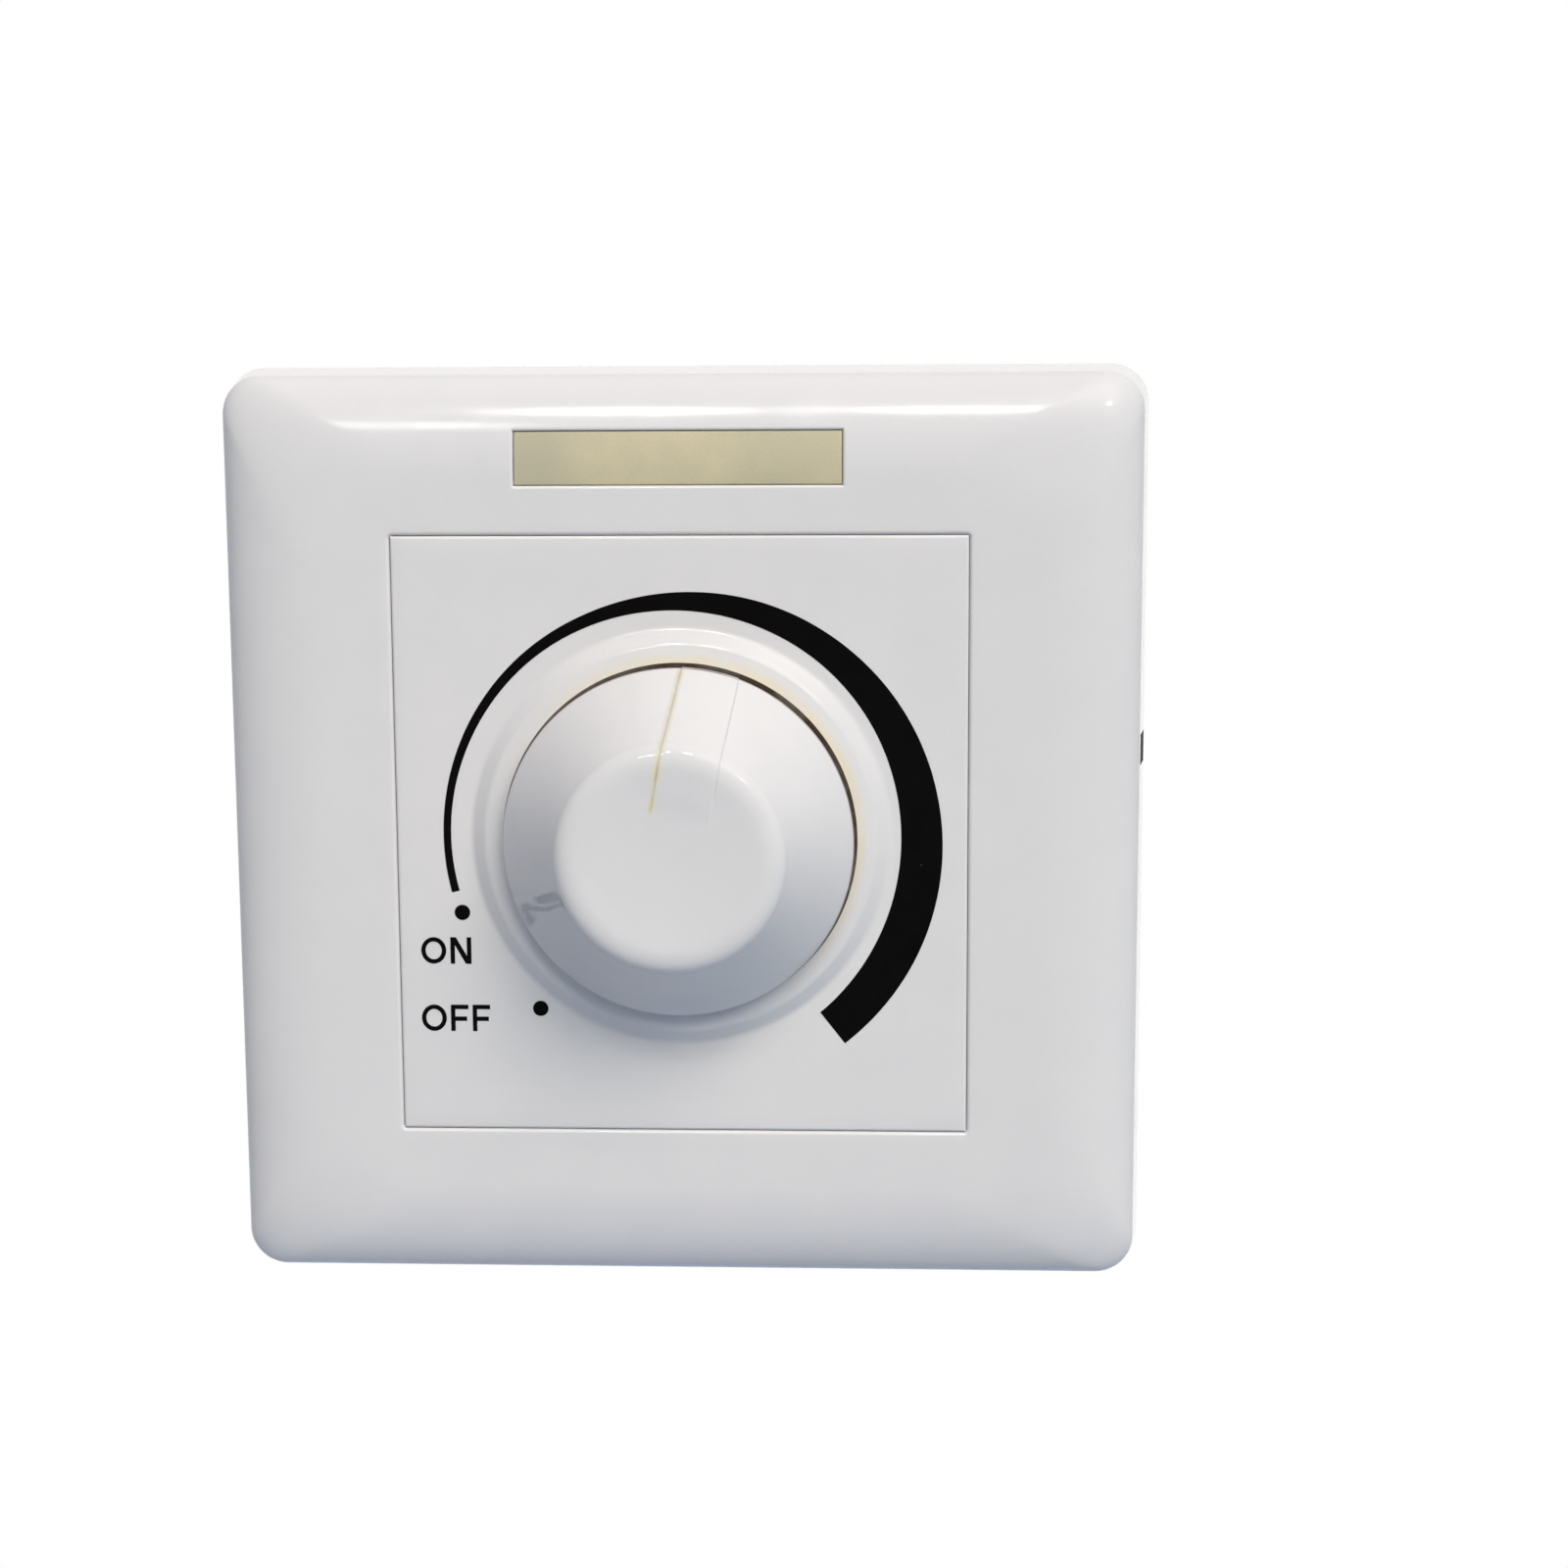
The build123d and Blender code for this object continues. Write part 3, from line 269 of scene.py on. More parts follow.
def split(vector):
    """The X, Y and Z of a vector."""
    return add(vector.id_data, "SeparateXYZ", Vector=vector).outputs


def object_place(tree):
    """The point on the piece in its own space, in millimetres."""
    return vector_math("SCALE", add(tree, "TexCoord").outputs["Object"], scale=1 / MM)


def new_group(name, outputs, **inputs):
    """A shader node group with named outputs and with number inputs and their usual values."""
    tree = bpy.data.node_groups.new(name, "ShaderNodeTree")
    for label, value in inputs.items():
        socket = tree.interface.new_socket(
            label.replace("_", " "), in_out="INPUT", socket_type="NodeSocketFloat"
        )
        socket.default_value = value
    for label in outputs:
        tree.interface.new_socket(label, in_out="OUTPUT", socket_type="NodeSocketFloat")
    print("group", name, "puts out", outputs)
    return tree, tree.nodes.new("NodeGroupInput").outputs, tree.nodes.new("NodeGroupOutput").inputs


def use_group(tree, group, **values):
    made = tree.nodes.new("ShaderNodeGroup")
    made.node_tree = group
    fill(made, values)
    return made.outputs


# %% [markdown]
# Moulded plastic is never quite flat. The mould's polish leaves a faint ripple, and a finer grain
# sits on parts that nobody sees. One group makes both from noise and serves every plastic here.
# It could be a displacement, but the ripple is only microns deep, so a bump is right.
# %% Group: moulded surface
moulded_surface, given, result = new_group(
    "moulded_surface", ["Height", "Shade"], Ripple_size=3.0, Grain_size=0.2, Grain_share=0.3
)
where = object_place(moulded_surface)
ripple = noise(where, math("DIVIDE", 1.0, given["Ripple size"]), 2.0)
grain = noise(where, math("DIVIDE", 1.0, given["Grain size"]), 3.0)
feed(math("ADD", ripple, product(grain, given["Grain share"])), result["Height"])
feed(ripple, result["Shade"])

# %% [markdown]
# Years of fingers and dusting leave fine marks that only show in the gloss. Stretched noise gives
# hairline scratches in two directions, and a soft noise gives the duller patches between them.
# The group puts out a roughness, so a material only says how glossy and how worn it is.
# %% Group: handling marks
SCRATCH_ANGLES = (25.0, -40.0)
SCRATCH_STRETCH = (9.0, 9.0, 0.35)
SCRATCH_SHARE = 0.3
PATCH_SHARE = 0.45

handling_marks, given, result = new_group(
    "handling_marks", ["Roughness"], Polished=0.12, Worn=0.3, Scratch_size=6.0
)
where = object_place(handling_marks)
fineness = math("DIVIDE", 3.0, given["Scratch size"])
scratches = []
for angle in SCRATCH_ANGLES:
    rotation = (0.0, radians(angle), 0.0)
    turn = add(handling_marks, "Mapping", Vector=where, Rotation=rotation, Scale=SCRATCH_STRETCH)
    hair = noise(turn.outputs[0], fineness, 1.0)
    scratches.append(spread(hair, 0.66, 0.74))
dull = spread(noise(where, 0.16, 4.0), 0.42, 0.75, 0.0, PATCH_SHARE)
worn_share = math("ADD", dull, product(math("MAXIMUM", *scratches), SCRATCH_SHARE), clamp=True)
span = math("SUBTRACT", given["Worn"], given["Polished"])
feed(math("ADD", given["Polished"], product(worn_share, span)), result["Roughness"])

# %% [markdown]
# Grime settles where a cloth can't reach. A ring of yellowed grease runs round the knob's seat,
# stronger at the upper right than elsewhere. Drawn thin, the same ring paints brown grime and
# painted shade into the gap round the knob. The group measures the distance from the knob's axis,
# weighs it by the side that a point lies on, and breaks the ring up with slow noise.
# %% Group: ring stain and painted shade
STAIN_SIDE = radians(45)
SIDE_FADE = (-0.45, 0.85)

ring_stain_and_shade, given, result = new_group(
    "ring_stain_and_shade", ["Mask"], Inner_radius=16.0, Outer_radius=18.0, Softness=0.5, Far_side=0.3, Amount=1.0
)
where = object_place(ring_stain_and_shade)
at = split(where)
radius = math("SQRT", math("ADD", math("POWER", at["X"], 2.0), math("POWER", at["Z"], 2.0)))
inner_start = math("SUBTRACT", given["Inner radius"], given["Softness"])
outer_end = math("ADD", given["Outer radius"], given["Softness"])
inside = spread(radius, inner_start, given["Inner radius"])
outside = spread(radius, given["Outer radius"], outer_end)
ring = product(inside, math("SUBTRACT", 1.0, outside))
toward = math("ADD", product(at["X"], sin(STAIN_SIDE)), product(at["Z"], cos(STAIN_SIDE)))
side_share = spread(math("DIVIDE", toward, radius), *SIDE_FADE, given["Far side"], 1.0)
uneven = product(spread(noise(where, 0.3, 3.0), 0.3, 0.62, 0.55, 1.0), side_share)
feed(product(ring, uneven, given["Amount"], clamp=True), result["Mask"])

# %% [markdown]
# A few dark specks of dust sit on the white plastic. A Voronoi pattern cuts space into cells; a
# cell becomes a speck only where its own random value is high, so the specks are few and uneven.
# %% Group: specks
specks, given, result = new_group("specks", ["Mask"], Spacing=4.0, Size=0.09, Rarity=0.93)
scale = math("DIVIDE", 1.0, given["Spacing"])
cells = add(specks, "TexVoronoi", Vector=object_place(specks), Scale=scale)
cell_value = split(cells.outputs["Color"])
near = product(cells.outputs["Distance"], given["Spacing"])
dot = math("LESS_THAN", near, product(given["Size"], cell_value["Y"]))
feed(product(dot, math("GREATER_THAN", cell_value["X"], given["Rarity"])), result["Mask"])

# %% [markdown]
# Dirt gathers in grooves and inner corners, and shade falls there too. Ambient occlusion tells
# how closed in a point is; a threshold turns that into a mask of creases, painted darker for both
# dirt and shade.
# %% Group: crease dirt and painted shade
crease_dirt_and_shade, given, result = new_group("crease_dirt_and_shade", ["Mask"], Reach=0.4, Amount=0.6)
closed = add(crease_dirt_and_shade, "AmbientOcclusion", Distance=product(given["Reach"], MM))
closed.samples = 8
# painted shade and dirt: the more closed in a point is, the darker it is coloured
crease = spread(closed.outputs["AO"], 0.2, 0.62, 1.0, 0.0)
feed(product(crease, given["Amount"]), result["Mask"])

# %% [markdown]
# Metal parts carry the lines of the tool that made them. Noise squeezed along one axis gives
# brushed or drawn lines for the steel, brass and aluminium.
# %% Group: drawn lines
drawn_lines, given, result = new_group(
    "drawn_lines", ["Height", "Roughness"], Line_size=0.15, Length=12.0, Smooth=0.22, Coarse=0.42
)
squeeze = add(drawn_lines, "CombineXYZ", X=math("DIVIDE", 1.0, given["Length"]), Y=1.0, Z=1.0)
stretched = vector_math("MULTIPLY", object_place(drawn_lines), squeeze.outputs[0])
lines = noise(stretched, math("DIVIDE", 1.0, given["Line size"]), 3.0)
feed(lines, result["Height"])
feed(spread(lines, 0.3, 0.7, given["Smooth"], given["Coarse"]), result["Roughness"])

# %% [markdown]
# Every material starts from the same base: a Principled shader and a first colour. More colours
# go over it like coats, each through a mask of its own: the drift of the moulding, then stains,
# specks, dirt and painted shade. Wear gives the roughness, and a bump of microns the relief.
# %% Material base


class Finish:
    """A material while it is mixed: a shader whose colour gets coat after coat."""

    def __init__(self, name, colour):
        material = bpy.data.materials.new(name)
        material.use_nodes = True
        self.tree = material.node_tree
        self.tree.nodes.clear()
        self.shader = add(self.tree, "BsdfPrincipled")
        add(self.tree, "OutputMaterial", Surface=self.shader.outputs[0])
        self.colour = colour
        materials[name] = material
        print("material", name)

    def set(self, **values):
        """Feed the shader's own inputs by name."""
        fill(self.shader, values)

    def coat(self, mask, colour):
        """Lay a colour over the present one where the mask is 1."""
        self.colour = mix_colour(mask, self.colour, colour)
        self.set(Base_Color=self.colour)

    def drift(self, second, **sizes):
        """Let a second colour drift through the first; gives back the moulded surface."""
        surface = use_group(self.tree, moulded_surface, **sizes)
        self.coat(surface["Shade"], second)
        return surface

    def stain(self, colour, group, share=1.0, **values):
        """Lay a colour through one of the masks above, thinly where the share is small."""
        mask = use_group(self.tree, group, **values)["Mask"]
        self.coat(product(mask, share), colour)

    def wear(self, **values):
        """Let the handling marks say how rough the surface is."""
        self.set(Roughness=use_group(self.tree, handling_marks, **values)["Roughness"])

    def relief(self, height, depth):
        """Feed a height to the shader's normal; depth is in millimetres."""
        bump = add(self.tree, "Bump", Height=height, Strength=1.0, Distance=depth * MM)
        self.set(Normal=bump.outputs[0])


# %% [markdown]
# The front is glossy white moulded plastic, slightly warm and never perfectly even. Its colour
# drifts a little from place to place. The knob's seat has a wide yellow stain, and a thin line of
# brown grime and painted shade at the very edge, in the gap round the knob. Specks tell its age,
# and the grooves are painted darker for dirt and shade. The slot in the right side, where a blade
# prises the cover off, is painted dark as shade: a box in the piece's own space says where it is.
# %% Material: front plastic
PLASTIC_WHITE = tint(220, 218, 216)
PLASTIC_SHADE = tint(214, 213, 212)
STAIN_YELLOW = tint(216, 200, 152)
GRIME_AND_SHADE_BROWN = tint(104, 76, 42)
SPECK_GREY = tint(120, 112, 104)
DIRT_AND_SHADE_GREY = tint(128, 124, 122)
SLOT_SHADE_GREY = tint(70, 70, 72)
PRY_UP = 7.6
PRY_HALF = 1.45
PRY_OUT = 4.6
PRY_FOOT = 0.45
PRY_MARGIN = 0.02
PRY_LOW = (40.0, -PRY_OUT - PRY_MARGIN, PRY_UP - PRY_HALF - PRY_MARGIN)
PRY_HIGH = (44.0, -PRY_FOOT + PRY_MARGIN, PRY_UP + PRY_HALF + PRY_MARGIN)


def box_mask(tree, low, high):
    """1 inside a box given by two corners in the piece's own space, in millimetres."""
    at = split(object_place(tree))
    sides = []
    for axis, start, end in zip("XYZ", low, high):
        off = math("ABSOLUTE", math("SUBTRACT", at[axis], (start + end) / 2))
        sides.append(math("LESS_THAN", off, (end - start) / 2))
    return product(*sides)


wide = {"Inner_radius": 15.0, "Outer_radius": 16.1, "Softness": 1.5, "Far_side": 0.03, "Amount": 0.6}
narrow = {"Inner_radius": 15.0, "Outer_radius": 16.23, "Softness": 0.04, "Far_side": 0.6, "Amount": 1.0}
front_finish = Finish("front_plastic", PLASTIC_SHADE)
surface = front_finish.drift(PLASTIC_WHITE, Ripple_size=5.0, Grain_size=0.35, Grain_share=0.12)
front_finish.stain(STAIN_YELLOW, ring_stain_and_shade, **wide)
# brown grime and painted shade in the gap between the pocket and the knob
front_finish.stain(GRIME_AND_SHADE_BROWN, ring_stain_and_shade, **narrow)
front_finish.stain(SPECK_GREY, specks, share=0.6, Spacing=5.0, Size=0.16, Rarity=0.9)
# dirt and painted shade in the grooves
front_finish.stain(DIRT_AND_SHADE_GREY, crease_dirt_and_shade, Reach=0.3, Amount=0.3)
# painted shade: the inside of the pry slot is coloured dark
front_finish.coat(box_mask(front_finish.tree, PRY_LOW, PRY_HIGH), SLOT_SHADE_GREY)
front_finish.wear(Polished=0.13, Worn=0.24)
front_finish.set(IOR=1.5)
front_finish.relief(surface["Height"], 0.012)

# %% [markdown]
# The knob is the same plastic, with a line of old grease along the left edge of its raised
# pointer, browner at its core, and a faint hair of dirt along the right one. They are painted in
# the pointer's own direction, so they turn with the knob. The edge of its rim has a brown line of
# grime and painted shade, for the gap round it.
# %% Material: knob plastic
POINTER_CLOCK = 10.0
POINTER_WIDTH = 5.3
POINTER_SHIFT = 0.35
POINTER_START = 4.2
KNOB_RADIUS = 15.97
GREASE_YELLOW = tint(224, 215, 174)
GREASE_DRY = tint(206, 201, 182)
GREASE_BROWN = tint(190, 182, 156)
RIM_GRIME_AND_SHADE = tint(96, 74, 46)
GREASE_FADE = 0.6
GREASE_DRIES = (8.0, 11.0)
HAIR_START = 5.2
HAIR_FADE = 2.0

knob_finish = Finish("knob_plastic", PLASTIC_SHADE)
surface = knob_finish.drift(PLASTIC_WHITE, Ripple_size=4.0, Grain_size=0.3, Grain_share=0.12)
where = object_place(knob_finish.tree)
back_turn = (0.0, -radians(POINTER_CLOCK), 0.0)
straight = add(knob_finish.tree, "Mapping", Vector=where, Rotation=back_turn)
at = split(straight.outputs[0])
edges = (POINTER_SHIFT - POINTER_WIDTH / 2, POINTER_SHIFT + POINTER_WIDTH / 2)
from_left, from_right = [math("ABSOLUTE", math("SUBTRACT", at["X"], edge)) for edge in edges]
strength = spread(noise(where, 0.5, 4.0), 0.3, 0.65, 0.35, 1.0)
reach = spread(at["Z"], POINTER_START - GREASE_FADE, POINTER_START)
hair_reach = spread(at["Z"], HAIR_START, HAIR_START + HAIR_FADE)
grease = mix_colour(spread(at["Z"], *GREASE_DRIES), GREASE_YELLOW, GREASE_DRY)
dirt_lines = (
    # distance from the edge, full up to, gone at, strength, reach, colour
    (from_left, 0.14, 0.55, 0.85, reach, grease),
    (from_left, 0.04, 0.24, 0.7, reach, GREASE_BROWN),
    (from_right, 0.03, 0.12, 0.2, hair_reach, DIRT_AND_SHADE_GREY),
)
for distance, full, gone, amount, run, colour in dirt_lines:
    line = spread(distance, full, gone, amount, 0.0)
    knob_finish.coat(product(line, run, strength), colour)
# brown grime and painted shade: a thin dark line on the rim's edge, for the gap
rim = {"Inner_radius": KNOB_RADIUS - 0.04, "Outer_radius": 17.0, "Softness": 0.06, "Far_side": 0.0}
knob_finish.stain(RIM_GRIME_AND_SHADE, ring_stain_and_shade, Amount=0.7, **rim)
knob_finish.wear(Polished=0.035, Worn=0.11, Scratch_size=4.0)
knob_finish.set(IOR=1.5)
knob_finish.relief(surface["Height"], 0.01)

# %% [markdown]
# The strip in the window glows in the dark. Its powder-filled plastic is matte, beige with
# greener clouds that thicken towards its ends, and fine-grained. Slow noise makes the clouds
# and fast noise the powder.
# %% Material: strip plastic
STRIP_BEIGE = tint(200, 189, 155)
STRIP_GREEN = tint(178, 173, 146)
POWDER_GREEN = tint(160, 156, 126)
CLEAREST_AT = -1.5
GREENER_ENDS = (4.0, 10.5)

strip_finish = Finish("strip_plastic", STRIP_BEIGE)
where = object_place(strip_finish.tree)
clouds = spread(noise(where, 0.11, 3.0), 0.38, 0.66, 0.0, 0.55)
from_middle = math("ABSOLUTE", math("SUBTRACT", split(where)["X"], CLEAREST_AT))
ends = spread(from_middle, *GREENER_ENDS, 0.0, 0.45)
strip_finish.coat(math("ADD", clouds, ends, clamp=True), STRIP_GREEN)
powder = noise(where, 6.0, 2.0)
strip_finish.coat(spread(powder, 0.45, 0.75, 0.0, 0.18), POWDER_GREEN)
# brown dirt and painted shade where the strip meets its window
strip_finish.stain(GRIME_AND_SHADE_BROWN, crease_dirt_and_shade, Reach=0.4, Amount=0.2)
strip_finish.set(Roughness=0.58)
strip_finish.relief(powder, 0.02)

# %% [markdown]
# The printing is a thin coat of black screen ink. It is a little less glossy than the plastic,
# with pinholes and a dusty bloom that keep it from a dead black.
# %% Material: print ink
INK_BLACK = tint(8, 7, 7)
INK_GREY = tint(14, 13, 13)
DUST_BLOOM = tint(150, 140, 120)

ink_finish = Finish("print_ink", INK_BLACK)
surface = ink_finish.drift(INK_GREY, Ripple_size=2.0, Grain_size=0.12, Grain_share=0.8)
ink_finish.stain(DUST_BLOOM, specks, share=0.35, Spacing=1.4, Size=0.09, Rarity=0.72)
ink_finish.wear(Polished=0.3, Worn=0.5)
ink_finish.set(IOR=1.08)
ink_finish.relief(surface["Height"], 0.006)

# %% [markdown]
# The parts behind the front are moulded in plain fine-grained plastics, and the small parts on
# the board come in the colours of their trade. One recipe covers them all: a main colour, a
# second one that drifts through it, a gloss and a depth of grain.
# %% Materials: plain mouldings


def plain_moulding(name, main, second, gloss, worn, grain_size=0.25, depth=0.02):
    finish = Finish(name, tint(*main))
    surface = finish.drift(tint(*second), Ripple_size=3.0, Grain_size=grain_size, Grain_share=0.8)
    # dirt and painted shade in creases and inner corners
    finish.stain(DIRT_AND_SHADE_GREY, crease_dirt_and_shade, Reach=1.0, Amount=0.3)
    finish.wear(Polished=gloss, Worn=worn)
    finish.relief(surface["Height"], depth)


plain_moulding("base_plastic", (212, 209, 203), (203, 201, 196), 0.38, 0.6)
plain_moulding("housing_plastic", (204, 204, 200), (194, 195, 193), 0.42, 0.65, 0.3, 0.03)
plain_moulding("black_moulding", (34, 33, 33), (46, 45, 44), 0.4, 0.6, 0.12)
plain_moulding("phenolic", (124, 84, 46), (104, 66, 34), 0.35, 0.6, 0.18)
plain_moulding("ferrite", (52, 50, 50), (66, 63, 62), 0.55, 0.8, 0.1, 0.03)
plain_moulding("capacitor_yellow", (214, 168, 42), (202, 154, 34), 0.35, 0.5)
plain_moulding("capacitor_red", (146, 48, 32), (126, 36, 26), 0.15, 0.35, 0.6)
plain_moulding("resistor_tan", (190, 162, 118), (176, 146, 102), 0.25, 0.45)
plain_moulding("terminal_plastic", (54, 104, 70), (44, 92, 60), 0.3, 0.5)

# %% [markdown]
# A circuit board is green lacquer over glass cloth. A fine weave under the lacquer shows as a
# faint checker of lighter threads, made here with two crossed waves.
# %% Material: board
board_finish = Finish("board", tint(24, 84, 44))
where = object_place(board_finish.tree)
threads = []
for axis in "XZ":
    wave = add(board_finish.tree, "TexWave", Vector=where, Scale=0.8, Distortion=0.6)
    wave.bands_direction = axis
    threads.append(wave.outputs["Fac"])
weave = product(*threads)
board_finish.coat(weave, tint(44, 108, 60))
board_finish.wear(Polished=0.2, Worn=0.4)
board_finish.relief(weave, 0.01)

# %% [markdown]
# Metals differ in colour and in how their surface was worked: zinc plating is dull and cloudy,
# turned brass is warm, tinned leads are bright. One recipe takes two close colours and the size
# of the tool lines.
# %% Materials: metals


def metal(name, main, second, smooth, coarse, line_size=0.15, length=12.0):
    finish = Finish(name, tint(*main))
    finish.drift(tint(*second), Ripple_size=1.5, Grain_size=0.2, Grain_share=0.5)
    sizes = {"Line_size": line_size, "Length": length, "Smooth": smooth, "Coarse": coarse}
    lines = use_group(finish.tree, drawn_lines, **sizes)
    finish.set(Roughness=lines["Roughness"], Metallic=1.0)
    finish.relief(lines["Height"], 0.004)


metal("zinc_steel", (188, 186, 180), (170, 170, 172), 0.28, 0.46)
metal("spring_bronze", (196, 148, 102), (180, 130, 86), 0.25, 0.4)
metal("brass", (206, 170, 104), (190, 150, 84), 0.2, 0.38, 0.1)
metal("tinned_metal", (204, 204, 200), (190, 190, 188), 0.16, 0.34)
metal("aluminium", (196, 197, 200), (184, 185, 190), 0.3, 0.5, 0.2, 20.0)
metal("copper_winding", (168, 84, 48), (148, 66, 36), 0.2, 0.36, 0.3, 1.0)

# %% [markdown]
# The fuse and the diac are small glass bodies. Clear glass needs transmission and a true index;
# its colour stays almost white, and a slow ripple in the bump keeps its highlights alive.
# %% Material: glass
glass_finish = Finish("glass_tube", tint(236, 244, 240))
surface = glass_finish.drift(tint(246, 250, 248), Ripple_size=1.5, Grain_size=0.5, Grain_share=0.2)
glass_finish.set(Roughness=0.04, IOR=1.5, Transmission_Weight=1.0)
glass_finish.relief(surface["Height"], 0.004)
print(len(materials), "materials in all")

# %% [markdown]
# The CAD pieces already have the right shape, so they only receive their material, by the slot
# that the record gives each of them.
# %% Dress the CAD pieces
for part in frame["record"]["subparts"]:
    dressed = frame["nodes"][part["node"]].data
    dressed.materials.clear()
    dressed.materials.append(materials[part["material_slot"]])

# %% [markdown]
# The cover frame is a square shell. Its front is a pillow whose section is a quarter of an
# ellipse, and its corners grow rounder towards the front. The CAD solid has the right form, but
# its edges are knife sharp. This finer shell keeps the form and gives each moulded edge its
# small round, which is what catches the light.
#
# It is woven from rows that run right round the plate, and columns that cross them. Where an
# edge has to be straight, as at the window, a row and a column lie exactly on it.
# %% Cover frame: rows and columns
PLATE_HALF = cad_high.x / MM
PLATE_OUT = -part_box("cover_frame")[0].y / MM
SIDE_OUT = 5.0
SIDE_LEAN = 0.8
CORNER_RADIUS = 3.5
CORNER_GROWTH = 7.5
PILLOW_WIDTH = 9.5
COVER_WALL = 1.8
SKIRT_WALL = 1.3
SKIRT_CORNER = 1.0
SKIRT_END = 4.4
OPENING_HALF_X = 26.325
OPENING_HALF_UP = 27.675
OPENING_ROUND = 0.4
OPENING_CORNER = 0.3
WINDOW_HALF_X = 14.9
WINDOW_HALF_UP = 2.45
WINDOW_UP = 34.6
WINDOW_ROUND = 0.3
FOOT_ROUND = 0.3

STRAIGHT = 21.0
SIDE_STEPS = 16
CORNER_STEPS = 24
RUN_STEPS = 4
CLEAR_OF_EDGE = 0.3
TOUCH = 0.001
shoulder_half = PLATE_HALF - SIDE_LEAN
crest_half = shoulder_half - PILLOW_WIDTH
edge_offsets = [0.0, 0.03, 0.07, 0.12, 0.18, 0.24, 0.3, 0.45]


def spaced(*edges):
    """Even places along a straight side, with closer ones round each given edge."""
    places = [STRAIGHT * (2 * i / SIDE_STEPS - 1) for i in range(SIDE_STEPS + 1)]
    for edge, direction in edges:
        close = [edge + direction * offset for offset in edge_offsets]
        places = [p for p in places if all(abs(p - c) > CLEAR_OF_EDGE for c in close)] + close
    return sorted(places)


top_lines = spaced((WINDOW_HALF_X, 1), (-WINDOW_HALF_X, -1))
right_lines = spaced((PRY_UP + PRY_HALF, 1), (PRY_UP - PRY_HALF, -1))
plain_lines = spaced()


def corner_run(half_x, half_up, corner):
    """Points round the top right corner, between the straight parts of two sides."""
    points = []
    for i in range(1, RUN_STEPS + 1):
        x = STRAIGHT + (half_x - corner - STRAIGHT) * i / RUN_STEPS
        points.append((x, half_up))
    for i in range(1, CORNER_STEPS + 1):
        angle = pi / 2 * i / CORNER_STEPS
        x = half_x - corner + corner * sin(angle)
        points.append((x, half_up - corner + corner * cos(angle)))
    for i in range(1, RUN_STEPS):
        up = half_up - corner + (STRAIGHT - half_up + corner) * i / RUN_STEPS
        points.append((half_x, up))
    return points


def frame_row(half_x, half_up, corner):
    """One row round the frame, clockwise from the left end of the top side."""
    bend = corner_run(half_x, half_up, corner)
    back = bend[::-1]
    points = [(x, half_up) for x in top_lines] + bend
    points += [(half_x, up) for up in reversed(right_lines)] + [(x, -up) for x, up in back]
    points += [(x, -half_up) for x in reversed(plain_lines)] + [(-x, -up) for x, up in bend]
    return points + [(-half_x, up) for up in plain_lines] + [(-x, up) for x, up in back]


def pillow(half):
    """Corner radius and height of the pillow where the row lies this far from the middle."""
    drop = 1 - (shoulder_half - half) / PILLOW_WIDTH
    height = SIDE_OUT + (PLATE_OUT - SIDE_OUT) * sqrt(1 - drop * drop)
    return CORNER_RADIUS + CORNER_GROWTH * (1 - drop), height


def quarter_round(radius, steps):
    """A moulded edge: how far each point has come round it, and how far it still has to go."""
    angles = [pi / 2 * i / steps for i in range(steps + 1)]
    return [(radius * (1 - cos(angle)), radius * (1 - sin(angle))) for angle in angles]


def edge_drop(gap, radius):
    """How far a rounded edge has fallen at this distance from it."""
    if gap >= radius:
        return 0.0
    return radius - sqrt(radius**2 - (radius - gap) ** 2)


def window_drop(x, up):
    """The round at the window's edge: a fall that depends on the distance to the window."""
    gap = hypot(max(abs(x) - WINDOW_HALF_X, 0), max(abs(up - WINDOW_UP) - WINDOW_HALF_UP, 0))
    return edge_drop(gap, WINDOW_ROUND)


print("columns round the frame:", len(frame_row(40, 40, 5)))

# %% [markdown]
# The rows run from the opening's inner edge outwards over the pillow, down the side wall, round
# the foot, up the inner wall, back under the front and down the skirt to where they began. So
# the shell is closed like a ring, and the window and the pry slot are patches left out of it
# and walled.
# %% Cover frame: the shell
PILLOW_STEPS = 26
PRY_LEVELS = (PRY_OUT, 3.2, 1.8, PRY_FOOT)
SHELL_TOP = 5.5
FLAT_ROWS = [28.6, 29.5, 30.8]
ROW_GAP = 0.1
WALL_CLEARANCE = 0.15
SKIRT_CLEARANCE = 0.2
FOOT_BEND = (0.35, 0.3)

window_low = WINDOW_UP - WINDOW_HALF_UP
window_high = WINDOW_UP + WINDOW_HALF_UP
flat_ups = FLAT_ROWS + [window_low - o for o in reversed(edge_offsets)]
pillow_angles = [pi / 2 * (1 - i / PILLOW_STEPS) for i in range(PILLOW_STEPS + 1)]
pillow_halves = [crest_half + PILLOW_WIDTH * cos(angle) for angle in pillow_angles]
window_rows = [window_high + o for o in edge_offsets]
pillow_halves = [h for h in pillow_halves if all(abs(h - w) > ROW_GAP for w in window_rows)]
pillow_halves = sorted(pillow_halves + window_rows)


def flat_row(up):
    """A row on the flat between the opening and the pillow, blended from one to the other."""
    share = (up - OPENING_HALF_UP) / (crest_half - OPENING_HALF_UP)
    half_x = OPENING_HALF_X + share * (crest_half - OPENING_HALF_X)
    crest_corner = CORNER_RADIUS + CORNER_GROWTH
    return half_x, up, OPENING_CORNER + share * (crest_corner - OPENING_CORNER)


cover = Sheet()
rows = []
marks_at = {}


def mark_edge(name, place, edge):
    """Remember the next row's number if it lies on an edge of the window."""
    if abs(place - edge) < TOUCH:
        marks_at[name] = len(rows)


def cover_row(half_x, half_up, corner, out, falls=False):
    points = []
    for x, up in frame_row(half_x, half_up, corner):
        points.append((x, up, out - (window_drop(x, up) if falls else 0)))
    rows.append(cover.ring(points))


